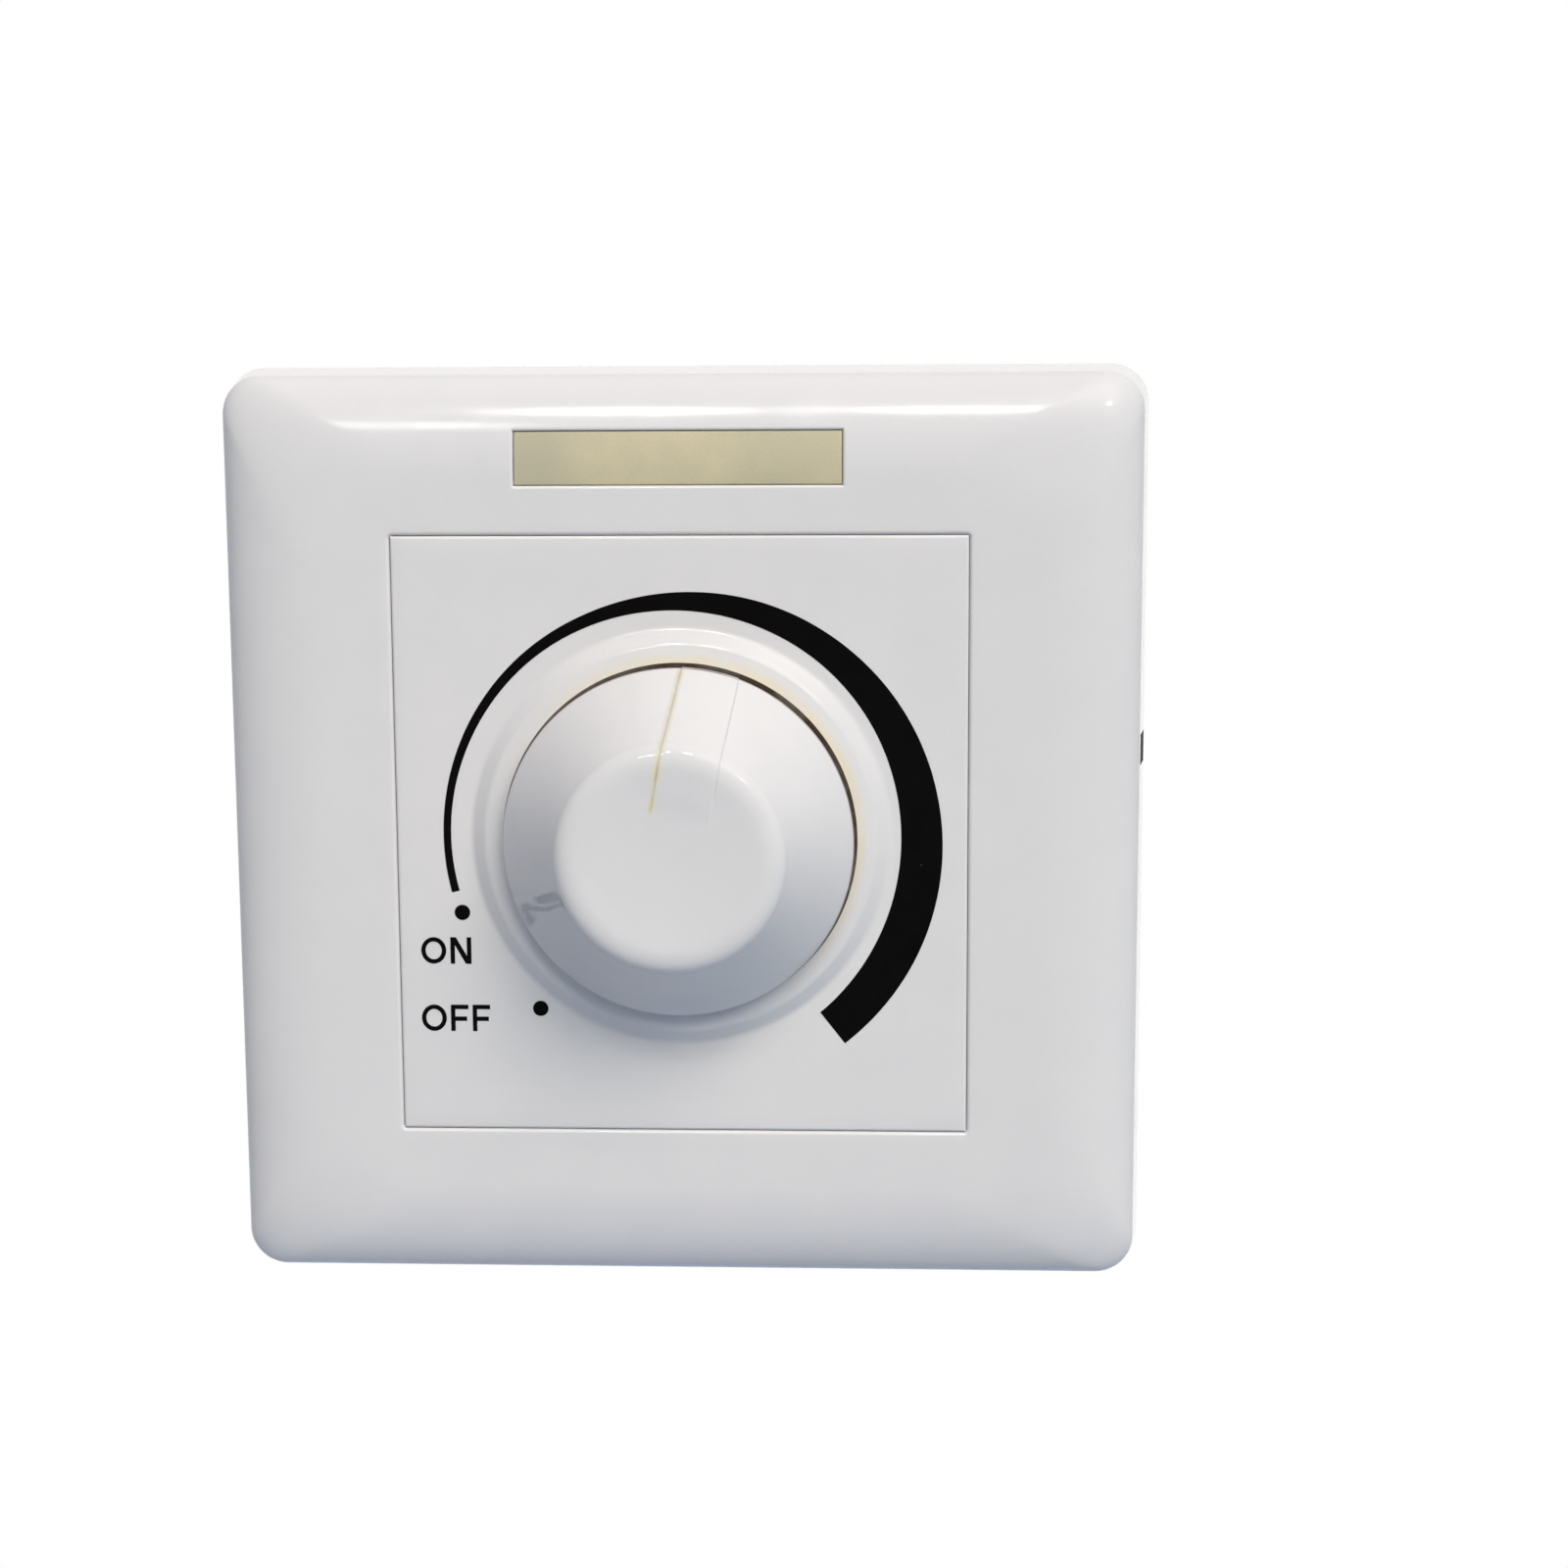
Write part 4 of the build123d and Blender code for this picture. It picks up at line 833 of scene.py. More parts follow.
cover_row(OPENING_HALF_X, OPENING_HALF_UP, OPENING_CORNER, SKIRT_END)
for grow, drop in quarter_round(OPENING_ROUND, 6):
    half_x, half_up = OPENING_HALF_X + grow, OPENING_HALF_UP + grow
    cover_row(half_x, half_up, OPENING_CORNER + grow, PLATE_OUT - drop)
for up in flat_ups:
    mark_edge("window_low", up, window_low)
    cover_row(*flat_row(up), PLATE_OUT, falls=True)
for half in pillow_halves:
    mark_edge("window_high", half, window_high)
    corner, out = pillow(half)
    cover_row(half, half, corner, out, falls=True)
for out in (*PRY_LEVELS, FOOT_ROUND):
    marks_at["outer", out] = len(rows)
    half = PLATE_HALF - SIDE_LEAN * out / SIDE_OUT
    cover_row(half, half, CORNER_RADIUS, out)
for inset, out in (FOOT_BEND, (1.0, 0.0)):
    half = PLATE_HALF - inset * FOOT_ROUND
    cover_row(half, half, CORNER_RADIUS, out * FOOT_ROUND)
for out in (0.0, *reversed(PRY_LEVELS), SHELL_TOP):
    marks_at["inner", out] = len(rows)
    half = PLATE_HALF - COVER_WALL - SIDE_LEAN * out / SIDE_OUT
    cover_row(half, half, CORNER_RADIUS - COVER_WALL, out)
inner_limit = PLATE_HALF - COVER_WALL - SIDE_LEAN - WALL_CLEARANCE
for half in reversed([h for h in pillow_halves if h < inner_limit]):
    mark_edge("under_high", half, window_high)
    corner, out = pillow(half)
    cover_row(half, half, corner, out - COVER_WALL)
skirt_limit = OPENING_HALF_UP + SKIRT_WALL + SKIRT_CLEARANCE
for up in reversed([u for u in flat_ups if u > skirt_limit]):
    mark_edge("under_low", up, window_low)
    cover_row(*flat_row(up), PLATE_OUT - COVER_WALL)
for out in (PLATE_OUT - COVER_WALL, SKIRT_END):
    cover_row(OPENING_HALF_X + SKIRT_WALL, OPENING_HALF_UP + SKIRT_WALL, SKIRT_CORNER, out)

window_columns = [i for i, x in enumerate(top_lines) if abs(x) <= WINDOW_HALF_X + TOUCH]
first_right = len(top_lines) + RUN_STEPS * 2 - 1 + CORNER_STEPS
pry_columns = []
for i, up in enumerate(reversed(right_lines)):
    if abs(up - PRY_UP) <= PRY_HALF + TOUCH:
        pry_columns.append(first_right + i)
window_hole = [marks_at[key] for key in ("window_low", "window_high", "under_low", "under_high")]
pry_hole = [marks_at[side, out] for side in ("outer", "inner") for out in (PRY_OUT, PRY_FOOT)]
holes = ((window_hole, window_columns), (pry_hole, pry_columns))

for i in range(len(rows)):
    leave = ()
    for (start, end, inner_start, inner_end), columns in holes:
        if start <= i < end or inner_end <= i < inner_start:
            leave = columns[:-1]
    cover.band(rows[i], rows[(i + 1) % len(rows)], leave)

for (start, end, inner_start, inner_end), columns in holes:
    for outer_row, inner_row in ((start, inner_start), (end, inner_end)):
        cover.strip([rows[outer_row][c] for c in columns], [rows[inner_row][c] for c in columns])
    outside = range(start, end + 1)
    inside = range(inner_start, inner_end - 1, -1)
    for column in (columns[0], columns[-1]):
        cover.strip([rows[i][column] for i in outside], [rows[i][column] for i in inside])
print("rows", len(rows), "marks", marks_at)

# %% [markdown]
# Four legs hold the cover. Each is a straight strip with a barb that catches behind the yoke.
# The same barbed strip, smaller, holds the front panel.
# %% Clip legs
BARB_TOP = 2.1
BARB_BOTTOM = 1.0
BARB_REACH = 0.9
COVER_LEG_X = 35.6
COVER_LEG_UP = 24.0


def clip_leg(sheet, x, up, clock, top, thickness, width):
    """A leg whose barb points along a clock direction: 90 is to the right, 0 is up."""
    half = thickness / 2
    section = [
        (-half, BARB_BOTTOM),
        (half, BARB_BOTTOM),
        (half + BARB_REACH, BARB_TOP),
        (half, BARB_TOP),
        (half, top),
        (-half, top),
    ]
    ends = []
    for side in (-width / 2, width / 2):
        points = []
        for reach, out in section:
            dx, dup = turned(side, reach, clock)
            points.append((x + dx, up + dup, out))
        ends.append(points)
    sheet.bar(*ends)


for x, clock in ((-COVER_LEG_X, -90), (COVER_LEG_X, 90)):
    for up in (-COVER_LEG_UP, COVER_LEG_UP):
        clip_leg(cover, x, up, clock, PLATE_OUT - COVER_WALL, thickness=1.4, width=6.0)
cover_piece = cover.object("cover_shell", "front_plastic", "plate")
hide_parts("cover_frame")

# %% [markdown]
# The panel is a flat plate with a raised collar round the knob. Its rows are circles at the
# collar and turn into rectangles towards the edge. The collar is a low cone that bends once, so
# its brim rises more gently to the pocket in which the knob turns. Small rounds soften its bends.
# A section through the collar is a list of corners, and one helper rounds them all.
# %% Front panel
PANEL_HALF_X = 26.295
PANEL_HALF_UP = 27.645
PANEL_ROUND = 0.3
PANEL_BACK = PLATE_OUT - 2.0
COLLAR_FOOT = 19.25
COLLAR_FLAT = 19.9
COLLAR_CROWN = 17.95
COLLAR_RISE = 0.94
BRIM_RISE = 1.3
POCKET_RADIUS = 16.22
PANEL_HOLE = 7.0
PANEL_LEG_X = 14.0
PANEL_LEG_UP = 25.95
SIDE_COLUMNS = 44
BEND_STEPS = 8

panel = Sheet()
steps = [2 * i / SIDE_COLUMNS - 1 for i in range(SIDE_COLUMNS)]
# places on the edge of a square of half side 1, clockwise from the top left corner
directions = [(s, 1.0) for s in steps] + [(1.0, -s) for s in steps]
directions += [(-s, -1.0) for s in steps] + [(-1.0, s) for s in steps]


def panel_rectangle(inset, out):
    half_x, half_up = PANEL_HALF_X - inset, PANEL_HALF_UP - inset
    return panel.ring([(half_x * a, half_up * b, out) for a, b in directions])


def panel_circle(radius, out, square=0.0):
    """A round row, or with a share of square one on its way to the rectangle."""
    points = []
    for a, b in directions:
        x, up = PANEL_HALF_X * a, PANEL_HALF_UP * b
        length = hypot(x, up)
        size = radius * (1 - square) + length * square
        points.append((x / length * size, up / length * size, out))
    return panel.ring(points)


def bend_points(start, corner, end, steps):
    """A corner rounded off: a curve from start to end that leaves and arrives along its legs."""
    points = []
    for i in range(steps + 1):
        t = i / steps
        weighted = list(zip(((1 - t) ** 2, 2 * t * (1 - t), t * t), (start, corner, end)))
        points.append(tuple(sum(w * p[k] for w, p in weighted) for k in (0, 1)))
    return points


def part_way(a, b, distance):
    """The point at this distance from a on the way to b."""
    share = distance / hypot(b[0] - a[0], b[1] - a[1])
    return a[0] + (b[0] - a[0]) * share, a[1] + (b[1] - a[1]) * share


def rounded(corners, rounds):
    """Corners of a section as (radius, out), each inner one rounded off over its own length."""
    points = [corners[0]]
    for before, corner, after, size in zip(corners, corners[1:], corners[2:], rounds):
        start, end = part_way(corner, before, size), part_way(corner, after, size)
        points += bend_points(start, corner, end, BEND_STEPS)
    return points + [corners[-1]]


panel_rows = [panel_circle(PANEL_HOLE, PANEL_BACK), panel_circle(PANEL_HOLE, PLATE_OUT)]
collar_section = rounded(
    [
        (POCKET_RADIUS, PLATE_OUT),
        (POCKET_RADIUS, PLATE_OUT + BRIM_RISE),
        (COLLAR_CROWN, PLATE_OUT + COLLAR_RISE),
        (COLLAR_FOOT, PLATE_OUT),
        (COLLAR_FLAT, PLATE_OUT),
    ],
    (0.05, 0.3, 0.34),
)
panel_rows += [panel_circle(radius, out) for radius, out in collar_section]
for square in (0.06, 0.3, 0.6, 0.85):
    panel_rows.append(panel_circle(COLLAR_FLAT, PLATE_OUT, square))
for drop, inset in quarter_round(PANEL_ROUND, 5):
    panel_rows.append(panel_rectangle(inset, PLATE_OUT - drop))
panel_rows.append(panel_rectangle(0.0, PANEL_BACK))
panel.skin(panel_rows + panel_rows[:1])
for up, clock in ((-PANEL_LEG_UP, 180), (PANEL_LEG_UP, 0)):
    for x in (-PANEL_LEG_X, PANEL_LEG_X):
        clip_leg(panel, x, up, clock, PANEL_BACK, thickness=1.2, width=5.0)
panel_piece = panel.object("panel_with_collar", "front_plastic", "plate")
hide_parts("front_panel")

# %% [markdown]
# The strip follows the pillow a little below its surface, so it is a patch of the same form. A
# grid of points takes its height from the pillow, and its edges are rounded off.
# %% Glow strip
STRIP_GAP = 0.03
STRIP_RECESS = 0.25
STRIP_DEPTH = 2.3
STRIP_ROUND = 0.15
STRIP_EDGE = 0.4
STRIP_COLUMNS = 30
STRIP_ROWS = 10

strip = Sheet()
strip_half_x = WINDOW_HALF_X - STRIP_GAP
strip_half_up = WINDOW_HALF_UP - STRIP_GAP


def strip_places(half, count):
    """Even places across, and closer ones at both ends for the rounded edge."""
    close = [half - o for o in (0.0, 0.03, 0.07, 0.11, STRIP_ROUND)]
    inner = [(half - STRIP_EDGE) * (2 * i / count - 1) for i in range(count + 1)]
    return sorted([-c for c in close] + inner + close)


def front_height(up):
    return pillow(up)[1] if up > crest_half else PLATE_OUT


strip_xs = strip_places(strip_half_x, STRIP_COLUMNS)
strip_rows = []
for up in strip_places(strip_half_up, STRIP_ROWS):
    level = []
    for x in strip_xs:
        gap = min(strip_half_x - abs(x), strip_half_up - abs(up))
        height = front_height(WINDOW_UP + up) - STRIP_RECESS - edge_drop(gap, STRIP_ROUND)
        level.append((x, WINDOW_UP + up, height))
    strip_rows.append(strip.ring(level))
for a, b in zip(strip_rows, strip_rows[1:]):
    strip.strip(a, b)
edge = strip_rows[0] + [row[-1] for row in strip_rows[1:]] + strip_rows[-1][-2::-1]
edge += [row[0] for row in strip_rows[-2:0:-1]]
below = []
for number in edge:
    x, y, z = strip.points[number]
    below.append((x / MM, z / MM, front_height(z / MM) - STRIP_DEPTH))
base = strip.ring(below)
strip.band(edge, base)
strip.faces.append(tuple(base))
strip_piece = strip.object("glow_strip_face", "strip_plastic", "plate")
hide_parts("glow_strip")

# %% [markdown]
# The knob is round like turned work, but its pointer is a straight band, barely raised. So the
# columns of this mesh run parallel inside the band and fan out elsewhere. The band then rises on
# its own columns, with clean edges and no second shell. The flare is a shallow arc, and below the
# rim the wall leans inward to its foot.
# %% Knob
RIM_OUT = PLATE_OUT + 3.3
SKIRT_BOTTOM = PLATE_OUT + 0.5
TOP_RADIUS = 10.3
CREST_OUT = PLATE_OUT + 12.5
FLARE_BOW = 0.18
EDGE_DROP = 1.0
EDGE_CORNER = 9.85
FACE_RADIUS = 8.1
DISH = 0.3
RIM_WALL = 1.3
BAND_RISE = 0.07
BAND_FADE = 1.6
BAND_EDGE = 0.12
FAN_COLUMNS = 168
ROOF_OUT = CREST_OUT - DISH - 1.7
LIP = 0.22
HALF_BEND = 0.293
RIM_BEND = 0.035
RIM_INSET = 0.13
RIM_RISE = 0.4
SKIRT_TUCK = 0.5
FOOT_RADIUS = KNOB_RADIUS - SKIRT_TUCK

band_half = POINTER_WIDTH / 2
band_edge = [-band_half + offset for offset in (-0.02, 0.0, 0.03, 0.08, 0.14)]
band_places = band_edge + [-2.0, -1.0, 0.0, 1.0, 2.0] + [-p for p in reversed(band_edge)]


def arc_points(start, middle, end, steps):
    """Points on the circle through three places, from start to end, without the start."""
    (x1, y1), (x2, y2), (x3, y3) = start, middle, end
    turn = 2 * (x1 * (y2 - y3) + x2 * (y3 - y1) + x3 * (y1 - y2))
    s1, s2, s3 = x1 * x1 + y1 * y1, x2 * x2 + y2 * y2, x3 * x3 + y3 * y3
    cx = (s1 * (y2 - y3) + s2 * (y3 - y1) + s3 * (y1 - y2)) / turn
    cy = (s1 * (x3 - x2) + s2 * (x1 - x3) + s3 * (x2 - x1)) / turn
    radius = hypot(x1 - cx, y1 - cy)
    chord = hypot(x3 - x1, y3 - y1)
    half_angle = asin(min(1.0, chord / 2 / radius))
    side = 1 if (x3 - x1) * (y2 - y1) - (y3 - y1) * (x2 - x1) > 0 else -1
    nx, ny = -(y3 - y1) / chord * side, (x3 - x1) / chord * side
    points = []
    for i in range(1, steps + 1):
        angle = half_angle * (2 * i / steps - 1)
        along = (radius * sin(angle) + chord / 2) / chord
        bow = radius * (cos(angle) - cos(half_angle))
        points.append((x1 + (x3 - x1) * along + nx * bow, y1 + (y3 - y1) * along + ny * bow))
    return points


turn_out = CREST_OUT - EDGE_DROP
slant = hypot(KNOB_RADIUS - TOP_RADIUS, turn_out - RIM_OUT)
flare_middle = (
    (KNOB_RADIUS + TOP_RADIUS) / 2 - FLARE_BOW * (turn_out - RIM_OUT) / slant,
    (RIM_OUT + turn_out) / 2 - FLARE_BOW * (KNOB_RADIUS - TOP_RADIUS) / slant,
)
foot_bend = (FOOT_RADIUS - LIP * HALF_BEND, SKIRT_BOTTOM + LIP * HALF_BEND)
rim_bend = (KNOB_RADIUS - RIM_BEND, RIM_OUT - LIP * RIM_RISE)
flare_foot = (KNOB_RADIUS - RIM_INSET, RIM_OUT + LIP * RIM_RISE)
flare_top = (TOP_RADIUS, turn_out)
face_edge = (FACE_RADIUS, CREST_OUT)
half_dish = (FACE_RADIUS / 2, CREST_OUT - 0.75 * DISH)
profile = [(KNOB_RADIUS - RIM_WALL, SKIRT_BOTTOM), (FOOT_RADIUS - LIP, SKIRT_BOTTOM)]
profile += arc_points(profile[-1], foot_bend, (FOOT_RADIUS, SKIRT_BOTTOM + LIP), steps=4)
profile += [(KNOB_RADIUS, RIM_OUT - LIP)]
profile += arc_points(profile[-1], rim_bend, flare_foot, steps=5)
profile += arc_points(profile[-1], flare_middle, flare_top, steps=22)
profile += bend_points(flare_top, (EDGE_CORNER, CREST_OUT), face_edge, steps=16)[1:]
profile += arc_points(face_edge, half_dish, (0.0, CREST_OUT - DISH), steps=16)
outer_count = len(profile) - 1
print("knob profile points:", len(profile))

# %% [markdown]
# Each profile point becomes a row. Inside the pointer's band a column keeps its distance from
# the middle line, and the surface is lifted along its own slope. Towards the middle of the face
# the band fades out.
# %% Knob: rows
knob = Sheet()


def band_shape(place_across, radius):
    """How much of the band's rise applies here: full inside, none at the edges and the centre."""
    inward = band_half - abs(place_across)
    edge_share = min(1.0, max(0.0, inward / BAND_EDGE))
    fade = min(1.0, max(0.0, (radius - POINTER_START) / BAND_FADE))
    return BAND_RISE * sin(edge_share * pi / 2) * fade * fade * (3 - 2 * fade)


def knob_row(radius, out, slope=(0.0, 0.0)):
    """One row: slope is the outward direction of the surface in the profile's plane."""
    spread_radius = max(radius, POINTER_START)
    angles = [asin((p + POINTER_SHIFT) / spread_radius) for p in band_places]
    points = []
    for p, angle in zip(band_places, angles):
        lift = band_shape(p, radius)
        r = radius + slope[0] * lift
        x, up = turned(r * sin(angle), r * cos(angle), POINTER_CLOCK)
        points.append((x, up, out + slope[1] * lift))
    for i in range(1, FAN_COLUMNS):
        angle = angles[-1] + (2 * pi + angles[0] - angles[-1]) * i / FAN_COLUMNS
        points.append((*turned(radius * sin(angle), radius * cos(angle), POINTER_CLOCK), out))
    return knob.ring(points)


def slope_at(i):
    a = profile[max(i - 1, 0)]
    b = profile[min(i + 1, outer_count)]
    length = hypot(b[0] - a[0], b[1] - a[1])
    return (b[1] - a[1]) / length, -(b[0] - a[0]) / length


knob_rows = []
for i, (radius, out) in enumerate(profile[:-1]):
    knob_rows.append(knob_row(radius, out, slope_at(i) if i > 1 else (0.0, 0.0)))
knob.skin(knob_rows)
centre = knob.ring([(0.0, 0.0, profile[-1][1])])[0]
last = knob_rows[-1]
knob.faces += [(last[i], last[(i + 1) % len(last)], centre) for i in range(len(last))]

# %% [markdown]
# Underneath, the knob is a thin shell with a boss that grips the shaft and six ribs that carry
# it. They hardly show, but a model that comes apart should have them.
# %% Knob: underside
BOSS_RADIUS = 6.3
BOSS_BOTTOM = PLATE_OUT - 0.8
BORE_RADIUS = 3.05
RIB_BOTTOM = BOSS_BOTTOM + 3.5
RIB_HALF = 0.5
RIB_FOOT = BOSS_RADIUS - 0.2
INNER_TOP = TOP_RADIUS - 1.2
inner_rim = (KNOB_RADIUS - RIM_WALL, RIM_OUT - 0.6)

inner_section = (
    inner_rim,
    (INNER_TOP, ROOF_OUT),
    (BOSS_RADIUS, ROOF_OUT),
    (BOSS_RADIUS, BOSS_BOTTOM),
    (BORE_RADIUS, BOSS_BOTTOM),
    (BORE_RADIUS, ROOF_OUT - 0.3),
)
inner_rows = [knob_rows[0]] + [knob_row(*corner) for corner in inner_section]
knob.skin(inner_rows)
knob.faces.append(tuple(inner_rows[-1]))

rib_top = ROOF_OUT - 0.1
rib_section = [(RIB_FOOT, RIB_BOTTOM), (inner_rim[0] - 0.4, RIB_BOTTOM)]
rib_section += [(INNER_TOP, rib_top), (RIB_FOOT, rib_top)]
for i in range(6):
    clock = 30 + 60 * i + POINTER_CLOCK
    ends = []
    for side in (-RIB_HALF, RIB_HALF):
        ends.append([(*turned(side, along, clock), out) for along, out in rib_section])
    knob.bar(*ends)
knob_piece = knob.object("knob_shell", "knob_plastic", "dial", crease=50.0)
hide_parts("knob")

# %% [markdown]
# The scale is printed: an arc that swells from thin to broad, two dots and two words. No pair of
# circles gives the arc's true form, so a short table says how far its edges lie from the knob's
# axis at a dozen clock angles, and a smooth curve runs through the rows. A coat of ink has a
# thickness, so each mark is a very thin solid on the panel.
# %% Printed arc and dots
INK = 0.03
ARC_EDGES = (
    # clock angle, inner edge, outer edge
    (-103.7, 21.17, 21.90),
    (-85.0, 21.26, 21.96),
    (-60.0, 21.27, 22.10),
    (-40.0, 21.245, 22.20),
    (-20.0, 21.09, 22.28),
    (0.0, 20.88, 22.54),
    (20.0, 20.69, 22.90),
    (40.0, 20.54, 23.22),
    (60.0, 20.37, 23.555),
    (80.0, 20.24, 23.855),
    (100.0, 20.25, 24.13),
    (120.0, 20.42, 24.335),
    (141.97, 20.73, 24.44),
)
ARC_STEPS = 200
DOT_STEPS = 48
DOT_RADIUS = 0.72
DOTS = ((-20.36, -7.07), (-13.23, -16.12))


def table_slope(table, row, column):
    """How fast the curve rises at a row of the table: the slope between its neighbours."""
    before = table[max(row - 1, 0)]
    after = table[min(row + 1, len(table) - 1)]
    return (after[column] - before[column]) / (after[0] - before[0])


def read_table(table, clock, column):
    """The value of a column at a clock angle, on a smooth curve through the rows."""
    row = min(sum(r[0] <= clock for r in table), len(table) - 1) - 1
    start, end = table[row][0], table[row + 1][0]
    low, high = table[row][column], table[row + 1][column]
    t = (clock - start) / (end - start)
    swing = (end - start) * t * (1 - t)
    lift = table_slope(table, row, column) * (1 - t) - table_slope(table, row + 1, column) * t
    return low + (high - low) * t * t * (3 - 2 * t) + swing * lift


def unit_circle(count):
    """Even places round a circle of radius 1."""
    angles = [2 * pi * i / count for i in range(count)]
    return [(cos(angle), sin(angle)) for angle in angles]


scale_print = Sheet()
arc_start, arc_end = ARC_EDGES[0][0], ARC_EDGES[-1][0]
clocks = [arc_start + (arc_end - arc_start) * i / ARC_STEPS for i in range(ARC_STEPS + 1)]
arc_rows = []
for level in (PLATE_OUT, PLATE_OUT + INK):
    for column in (1, 2):
        points = [(*turned(0.0, read_table(ARC_EDGES, c, column), c), level) for c in clocks]
        arc_rows.append(scale_print.ring(points))
low_inner, low_outer, high_inner, high_outer = arc_rows
scale_print.strip(high_inner, high_outer)
scale_print.strip(low_inner, low_outer)
scale_print.strip(high_inner, low_inner)
scale_print.strip(high_outer, low_outer)
for i in (0, -1):
    scale_print.faces.append((low_inner[i], low_outer[i], high_outer[i], high_inner[i]))
for x, up in DOTS:
    outline = [(x + DOT_RADIUS * c, up + DOT_RADIUS * s) for c, s in unit_circle(DOT_STEPS)]
    scale_print.prism(outline, PLATE_OUT, PLATE_OUT + INK)
scale_print.object("printed_scale", "print_ink", "plate")

# %% [markdown]
# The words ON and OFF are plain strokes. Drawing each letter as one outline, from its height,
# width and stroke, keeps them crisp at any size and needs no font.
# %% Printed words
LETTER_HEIGHT = 2.5
STROKE = 0.41
O_WIDTH = 2.33
N_WIDTH = 1.95
F_WIDTH = 1.64
LETTER_GAP = 0.4
N_SLANT = 1.28
F_BAR_UP = 0.47
F_BAR_LENGTH = 0.92
O_STEPS = 56


def letter_n(width, height, t):
    slant = N_SLANT * t
    left_foot = height * (width - slant - t) / (width - slant)
    right_head = height * t / (width - slant)
    points = [(0, 0), (0, height), (slant, height), (width - t, right_head), (width - t, height)]
    return points + [(width, height), (width, 0), (width - slant, 0), (t, left_foot), (t, 0)]


def letter_f(width, height, t):
    bar = height * F_BAR_UP
    tip, over, under = width * F_BAR_LENGTH, bar + t / 2, bar - t / 2
    points = [(0, 0), (0, height), (width, height), (width, height - t), (t, height - t), (t, over)]
    return points + [(tip, over), (tip, under), (t, under), (t, 0)]


def letter_o(sheet, x, up):
    """A ring between two ellipses."""
    loops = []
    middle_x, middle_up = x + O_WIDTH / 2, up + LETTER_HEIGHT / 2
    for level in (PLATE_OUT, PLATE_OUT + INK):
        for inset in (0.0, STROKE):
            half_x, half_up = O_WIDTH / 2 - inset, LETTER_HEIGHT / 2 - inset
            loop = [(middle_x + half_x * c, middle_up + half_up * s) for c, s in unit_circle(O_STEPS)]
            loops.append(sheet.ring([(*point, level) for point in loop]))
    low_out, low_in, high_out, high_in = loops
    for a, b in ((low_out, low_in), (low_in, high_in), (high_in, high_out), (high_out, low_out)):
        sheet.band(a, b)


def word(name, letters, x, up):
    sheet = Sheet()
    for letter in letters:
        if letter == "O":
            letter_o(sheet, x, up)
            x += O_WIDTH + LETTER_GAP
            continue
        draw, width = (letter_n, N_WIDTH) if letter == "N" else (letter_f, F_WIDTH)
        outline = [(x + a, up + b) for a, b in draw(width, LETTER_HEIGHT, STROKE)]
        sheet.prism(outline, PLATE_OUT, PLATE_OUT + INK)
        x += width + LETTER_GAP
    sheet.object(name, "print_ink", "plate")


word("printed_on", "ON", -24.29, -11.92)
word("printed_off", "OFF", -24.38, -18.32)

# %% [markdown]
# The room is plain: a pale floor well below the plate and soft light from above. The floor is
# lifted to white for the camera, and a little for glossy rays, because the picture stands on
# white and the knob's skirt mirrors what lies below it.
# %% Floor
FLOOR_UP = -300.0
FLOOR_RADIUS = 440.0
FLOOR_STEPS = 96
FLOOR_LIFT = 0.6
FLOOR_IN_GLOSS = 0.3
WHITE = (1.0, 1.0, 1.0, 1.0)


def ray_masks(tree):
    """1 where the camera sees it, straight or through glass, and 1 where a gloss mirrors it."""
    path = add(tree, "LightPath").outputs
    seen = math("ADD", path["Is Camera Ray"], path["Is Transmission Ray"], clamp=True)
    return seen, path["Is Glossy Ray"]


floor_finish = Finish("floor_paint", tint(176, 188, 208))
floor_finish.drift(tint(184, 195, 214), Ripple_size=60.0, Grain_size=4.0, Grain_share=0.3)
seen, in_gloss = ray_masks(floor_finish.tree)
lift = math("ADD", product(seen, FLOOR_LIFT), product(in_gloss, FLOOR_IN_GLOSS))
floor_finish.set(Roughness=0.8, Emission_Color=WHITE, Emission_Strength=lift)

floor_sheet = Sheet()
floor_rings = []
for share in (0.33, 0.66, 1.0):
    reach = FLOOR_RADIUS * share
    circle = [(reach * c, FLOOR_UP, reach * s) for c, s in unit_circle(FLOOR_STEPS)]
    floor_rings.append(floor_sheet.ring(circle))
floor_sheet.faces.append(tuple(floor_rings[0]))
floor_sheet.skin(floor_rings)
floor_piece = floor_sheet.object("floor", "floor_paint")

# %% [markdown]
# Daylight in a room is a few large soft lights: the window, the sky in it, the bright walls. Each
# one is a patch of the world that is brightest along its own direction and fades out with the
# angle. Adding up a short list of them shades the slopes as the photograph shows.
#
# The camera, and what it sees through clear glass, meets plain white instead. A gloss would
# mirror the window too hard, so glossy rays see it dimmed, and an even pale room round it.
# %% World
PATCHES = (
    # name, direction, where it fades out, colour
    ("window", (0.36, -0.66, 0.66), 0.9, (8.9, 8.3, 7.5)),
    ("wall beside it", (0.62, -0.45, 0.64), 0.8, (0.3, 0.1, 0.02)),
    ("wall on the left", (-0.90, -0.42, 0.10), 0.0, (0.08, 0.09, 0.09)),
    ("sky on the right", (0.85, -0.50, 0.15), 0.6, (0.02, 0.20, 0.32)),
    ("ceiling and floor", (0.0, 0.0, 1.0), -0.999, (0.16, 0.20, 0.30)),
    ("wall behind", (0.0, 0.97, -0.22), 0.6, (2.3, 2.2, 2.05)),
)
WINDOW_IN_GLOSS = 0.15
ROOM_IN_GLOSS = (0.84, 0.83, 0.80)

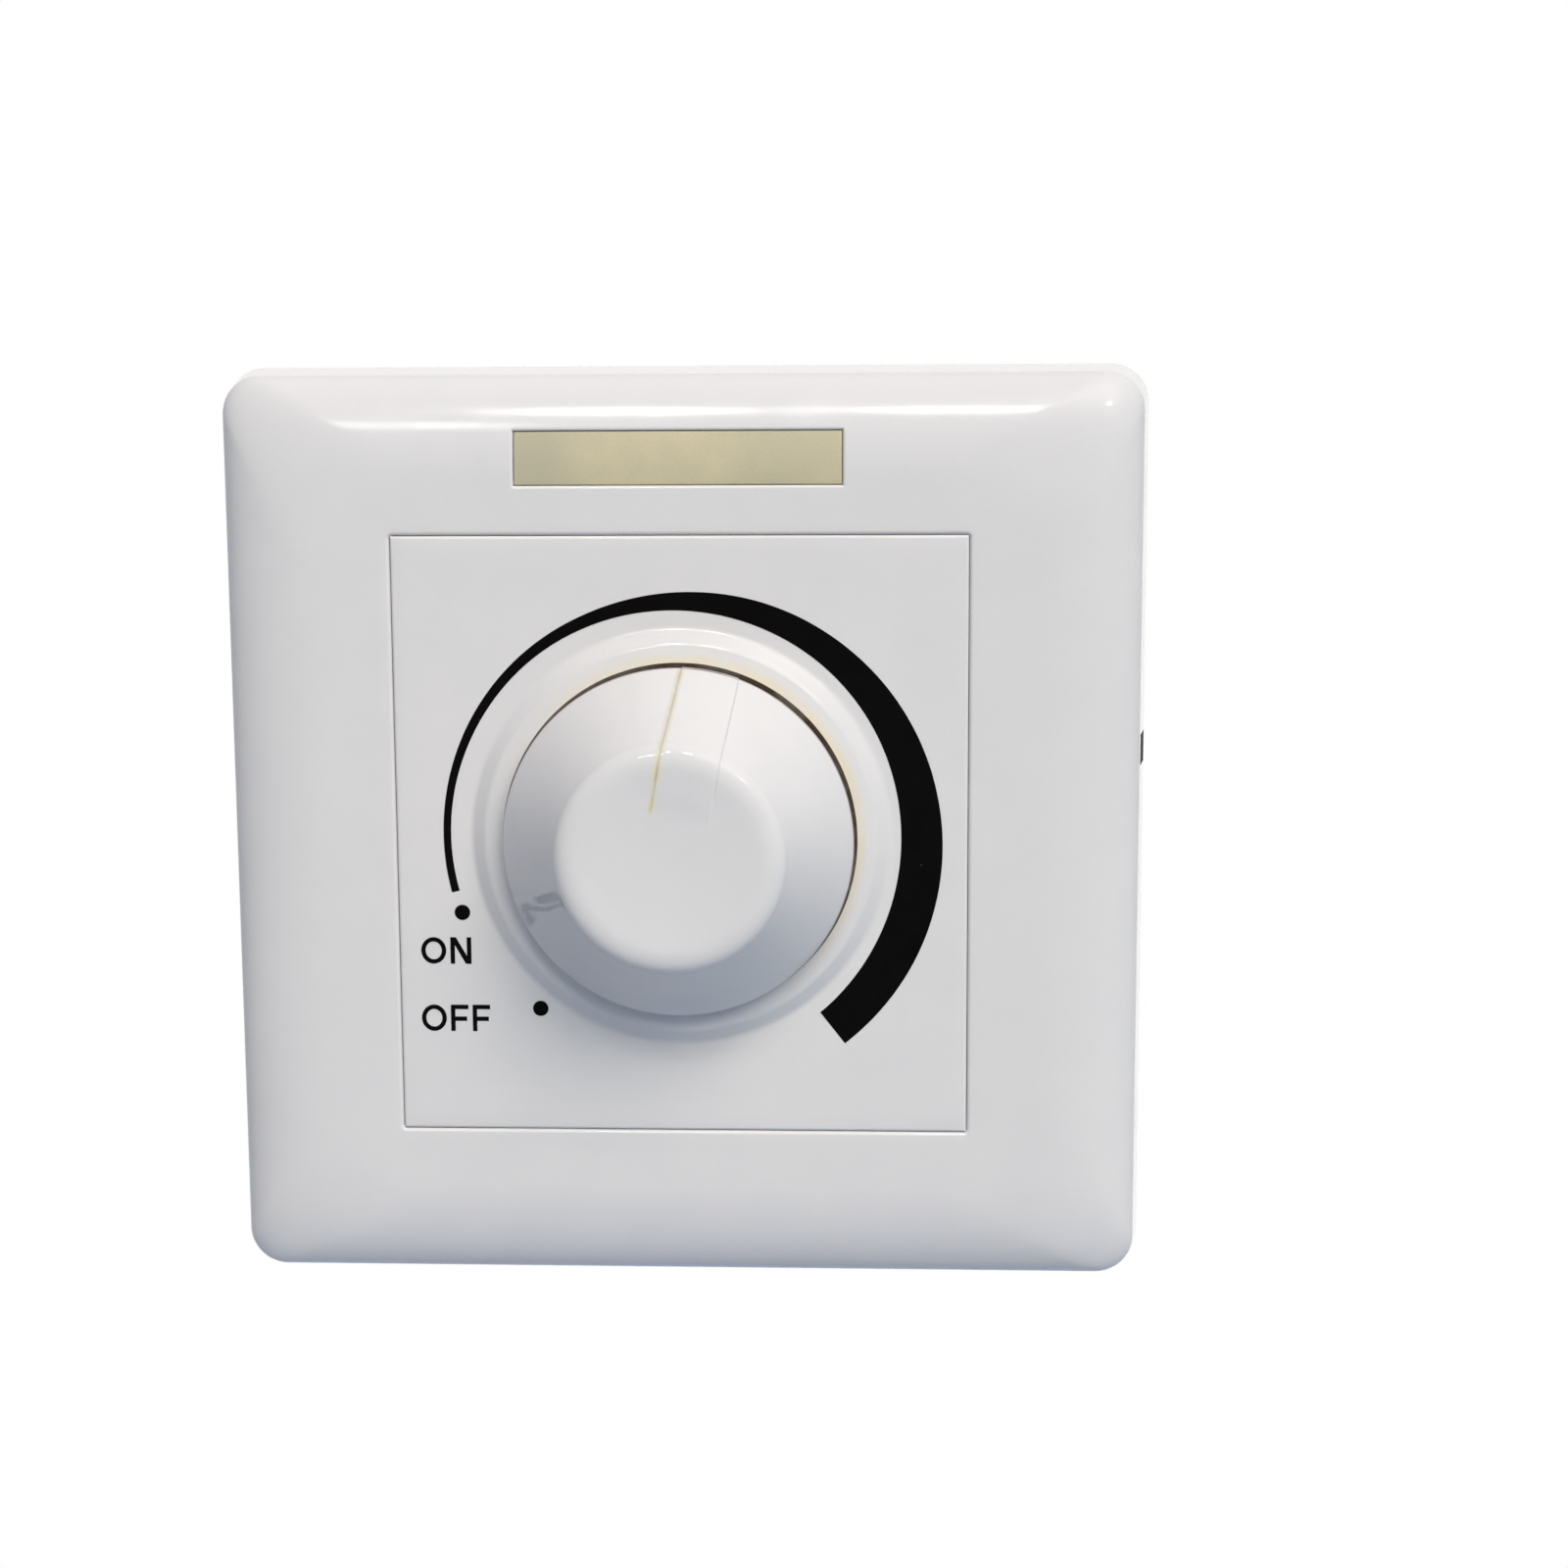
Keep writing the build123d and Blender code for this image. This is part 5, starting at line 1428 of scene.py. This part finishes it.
world = bpy.data.worlds.new("studio")
scene.world = world
world.use_nodes = True
tree = world.node_tree
tree.nodes.clear()
direction = add(tree, "TexCoord").outputs["Generated"]
glow = (0.0, 0.0, 0.0)
for name, axis, edge, colour in PATCHES:
    share = spread(vector_math("DOT_PRODUCT", direction, axis), edge, 1.0)
    glow = vector_math("ADD", vector_math("SCALE", colour, scale=share), glow)
    print("patch", name, "fades out", round(degrees(acos(edge))), "degrees from its middle")
seen, in_gloss = ray_masks(tree)
dimming = math("SUBTRACT", 1.0, product(in_gloss, 1.0 - WINDOW_IN_GLOSS))
glow = vector_math("SCALE", glow, scale=dimming)
mirrored = vector_math("SCALE", ROOM_IN_GLOSS, scale=in_gloss)
dome = add(tree, "Background", Color=vector_math("ADD", glow, mirrored), Strength=1.0)
white = add(tree, "Background", Color=WHITE, Strength=1.0)
choice = add(tree, "MixShader")
for number, value in enumerate((seen, dome.outputs[0], white.outputs[0])):
    feed(value, choice.inputs[number])
add(tree, "OutputWorld", Surface=choice.outputs[0])

# %% [markdown]
# Four small lamps high in front are there for their reflections: a gloss shows a lamp where
# the pillow's slope mirrors it, so each lamp's place follows from the highlight that it makes.
# They give hardly any light.
# %% Lamps
LAMP_WHITE = (1.0, 0.99, 0.97)
LAMP_TARGET = (0.0, 0.0, 9.0)
LAMPS = (
    # name, place, width, height, power
    ("glint_left", (-144.0, 327.0, 540.0), 74.0, 44.0, 0.12),
    ("glint_middle", (-69.0, 415.0, 472.0), 52.0, 50.0, 0.35),
    ("glint_right", (38.0, 415.0, 472.0), 36.0, 44.0, 0.26),
    ("glint_corner", (340.0, 330.0, 470.0), 30.0, 30.0, 0.06),
)
for name, at, width, height, power in LAMPS:
    data = bpy.data.lights.new(name, "AREA")
    data.shape = "RECTANGLE"
    data.size = width * MM
    data.size_y = height * MM
    data.energy = power
    data.color = LAMP_WHITE
    lamp = bpy.data.objects.new(name, data)
    lamp.location = place(*at)
    aim = Vector(place(*LAMP_TARGET)) - lamp.location
    lamp.rotation_euler = aim.to_track_quat("-Z", "Y").to_euler()
    scene.collection.objects.link(lamp)
print(len(LAMPS), "lamps")

scene.view_settings.view_transform = "Standard"
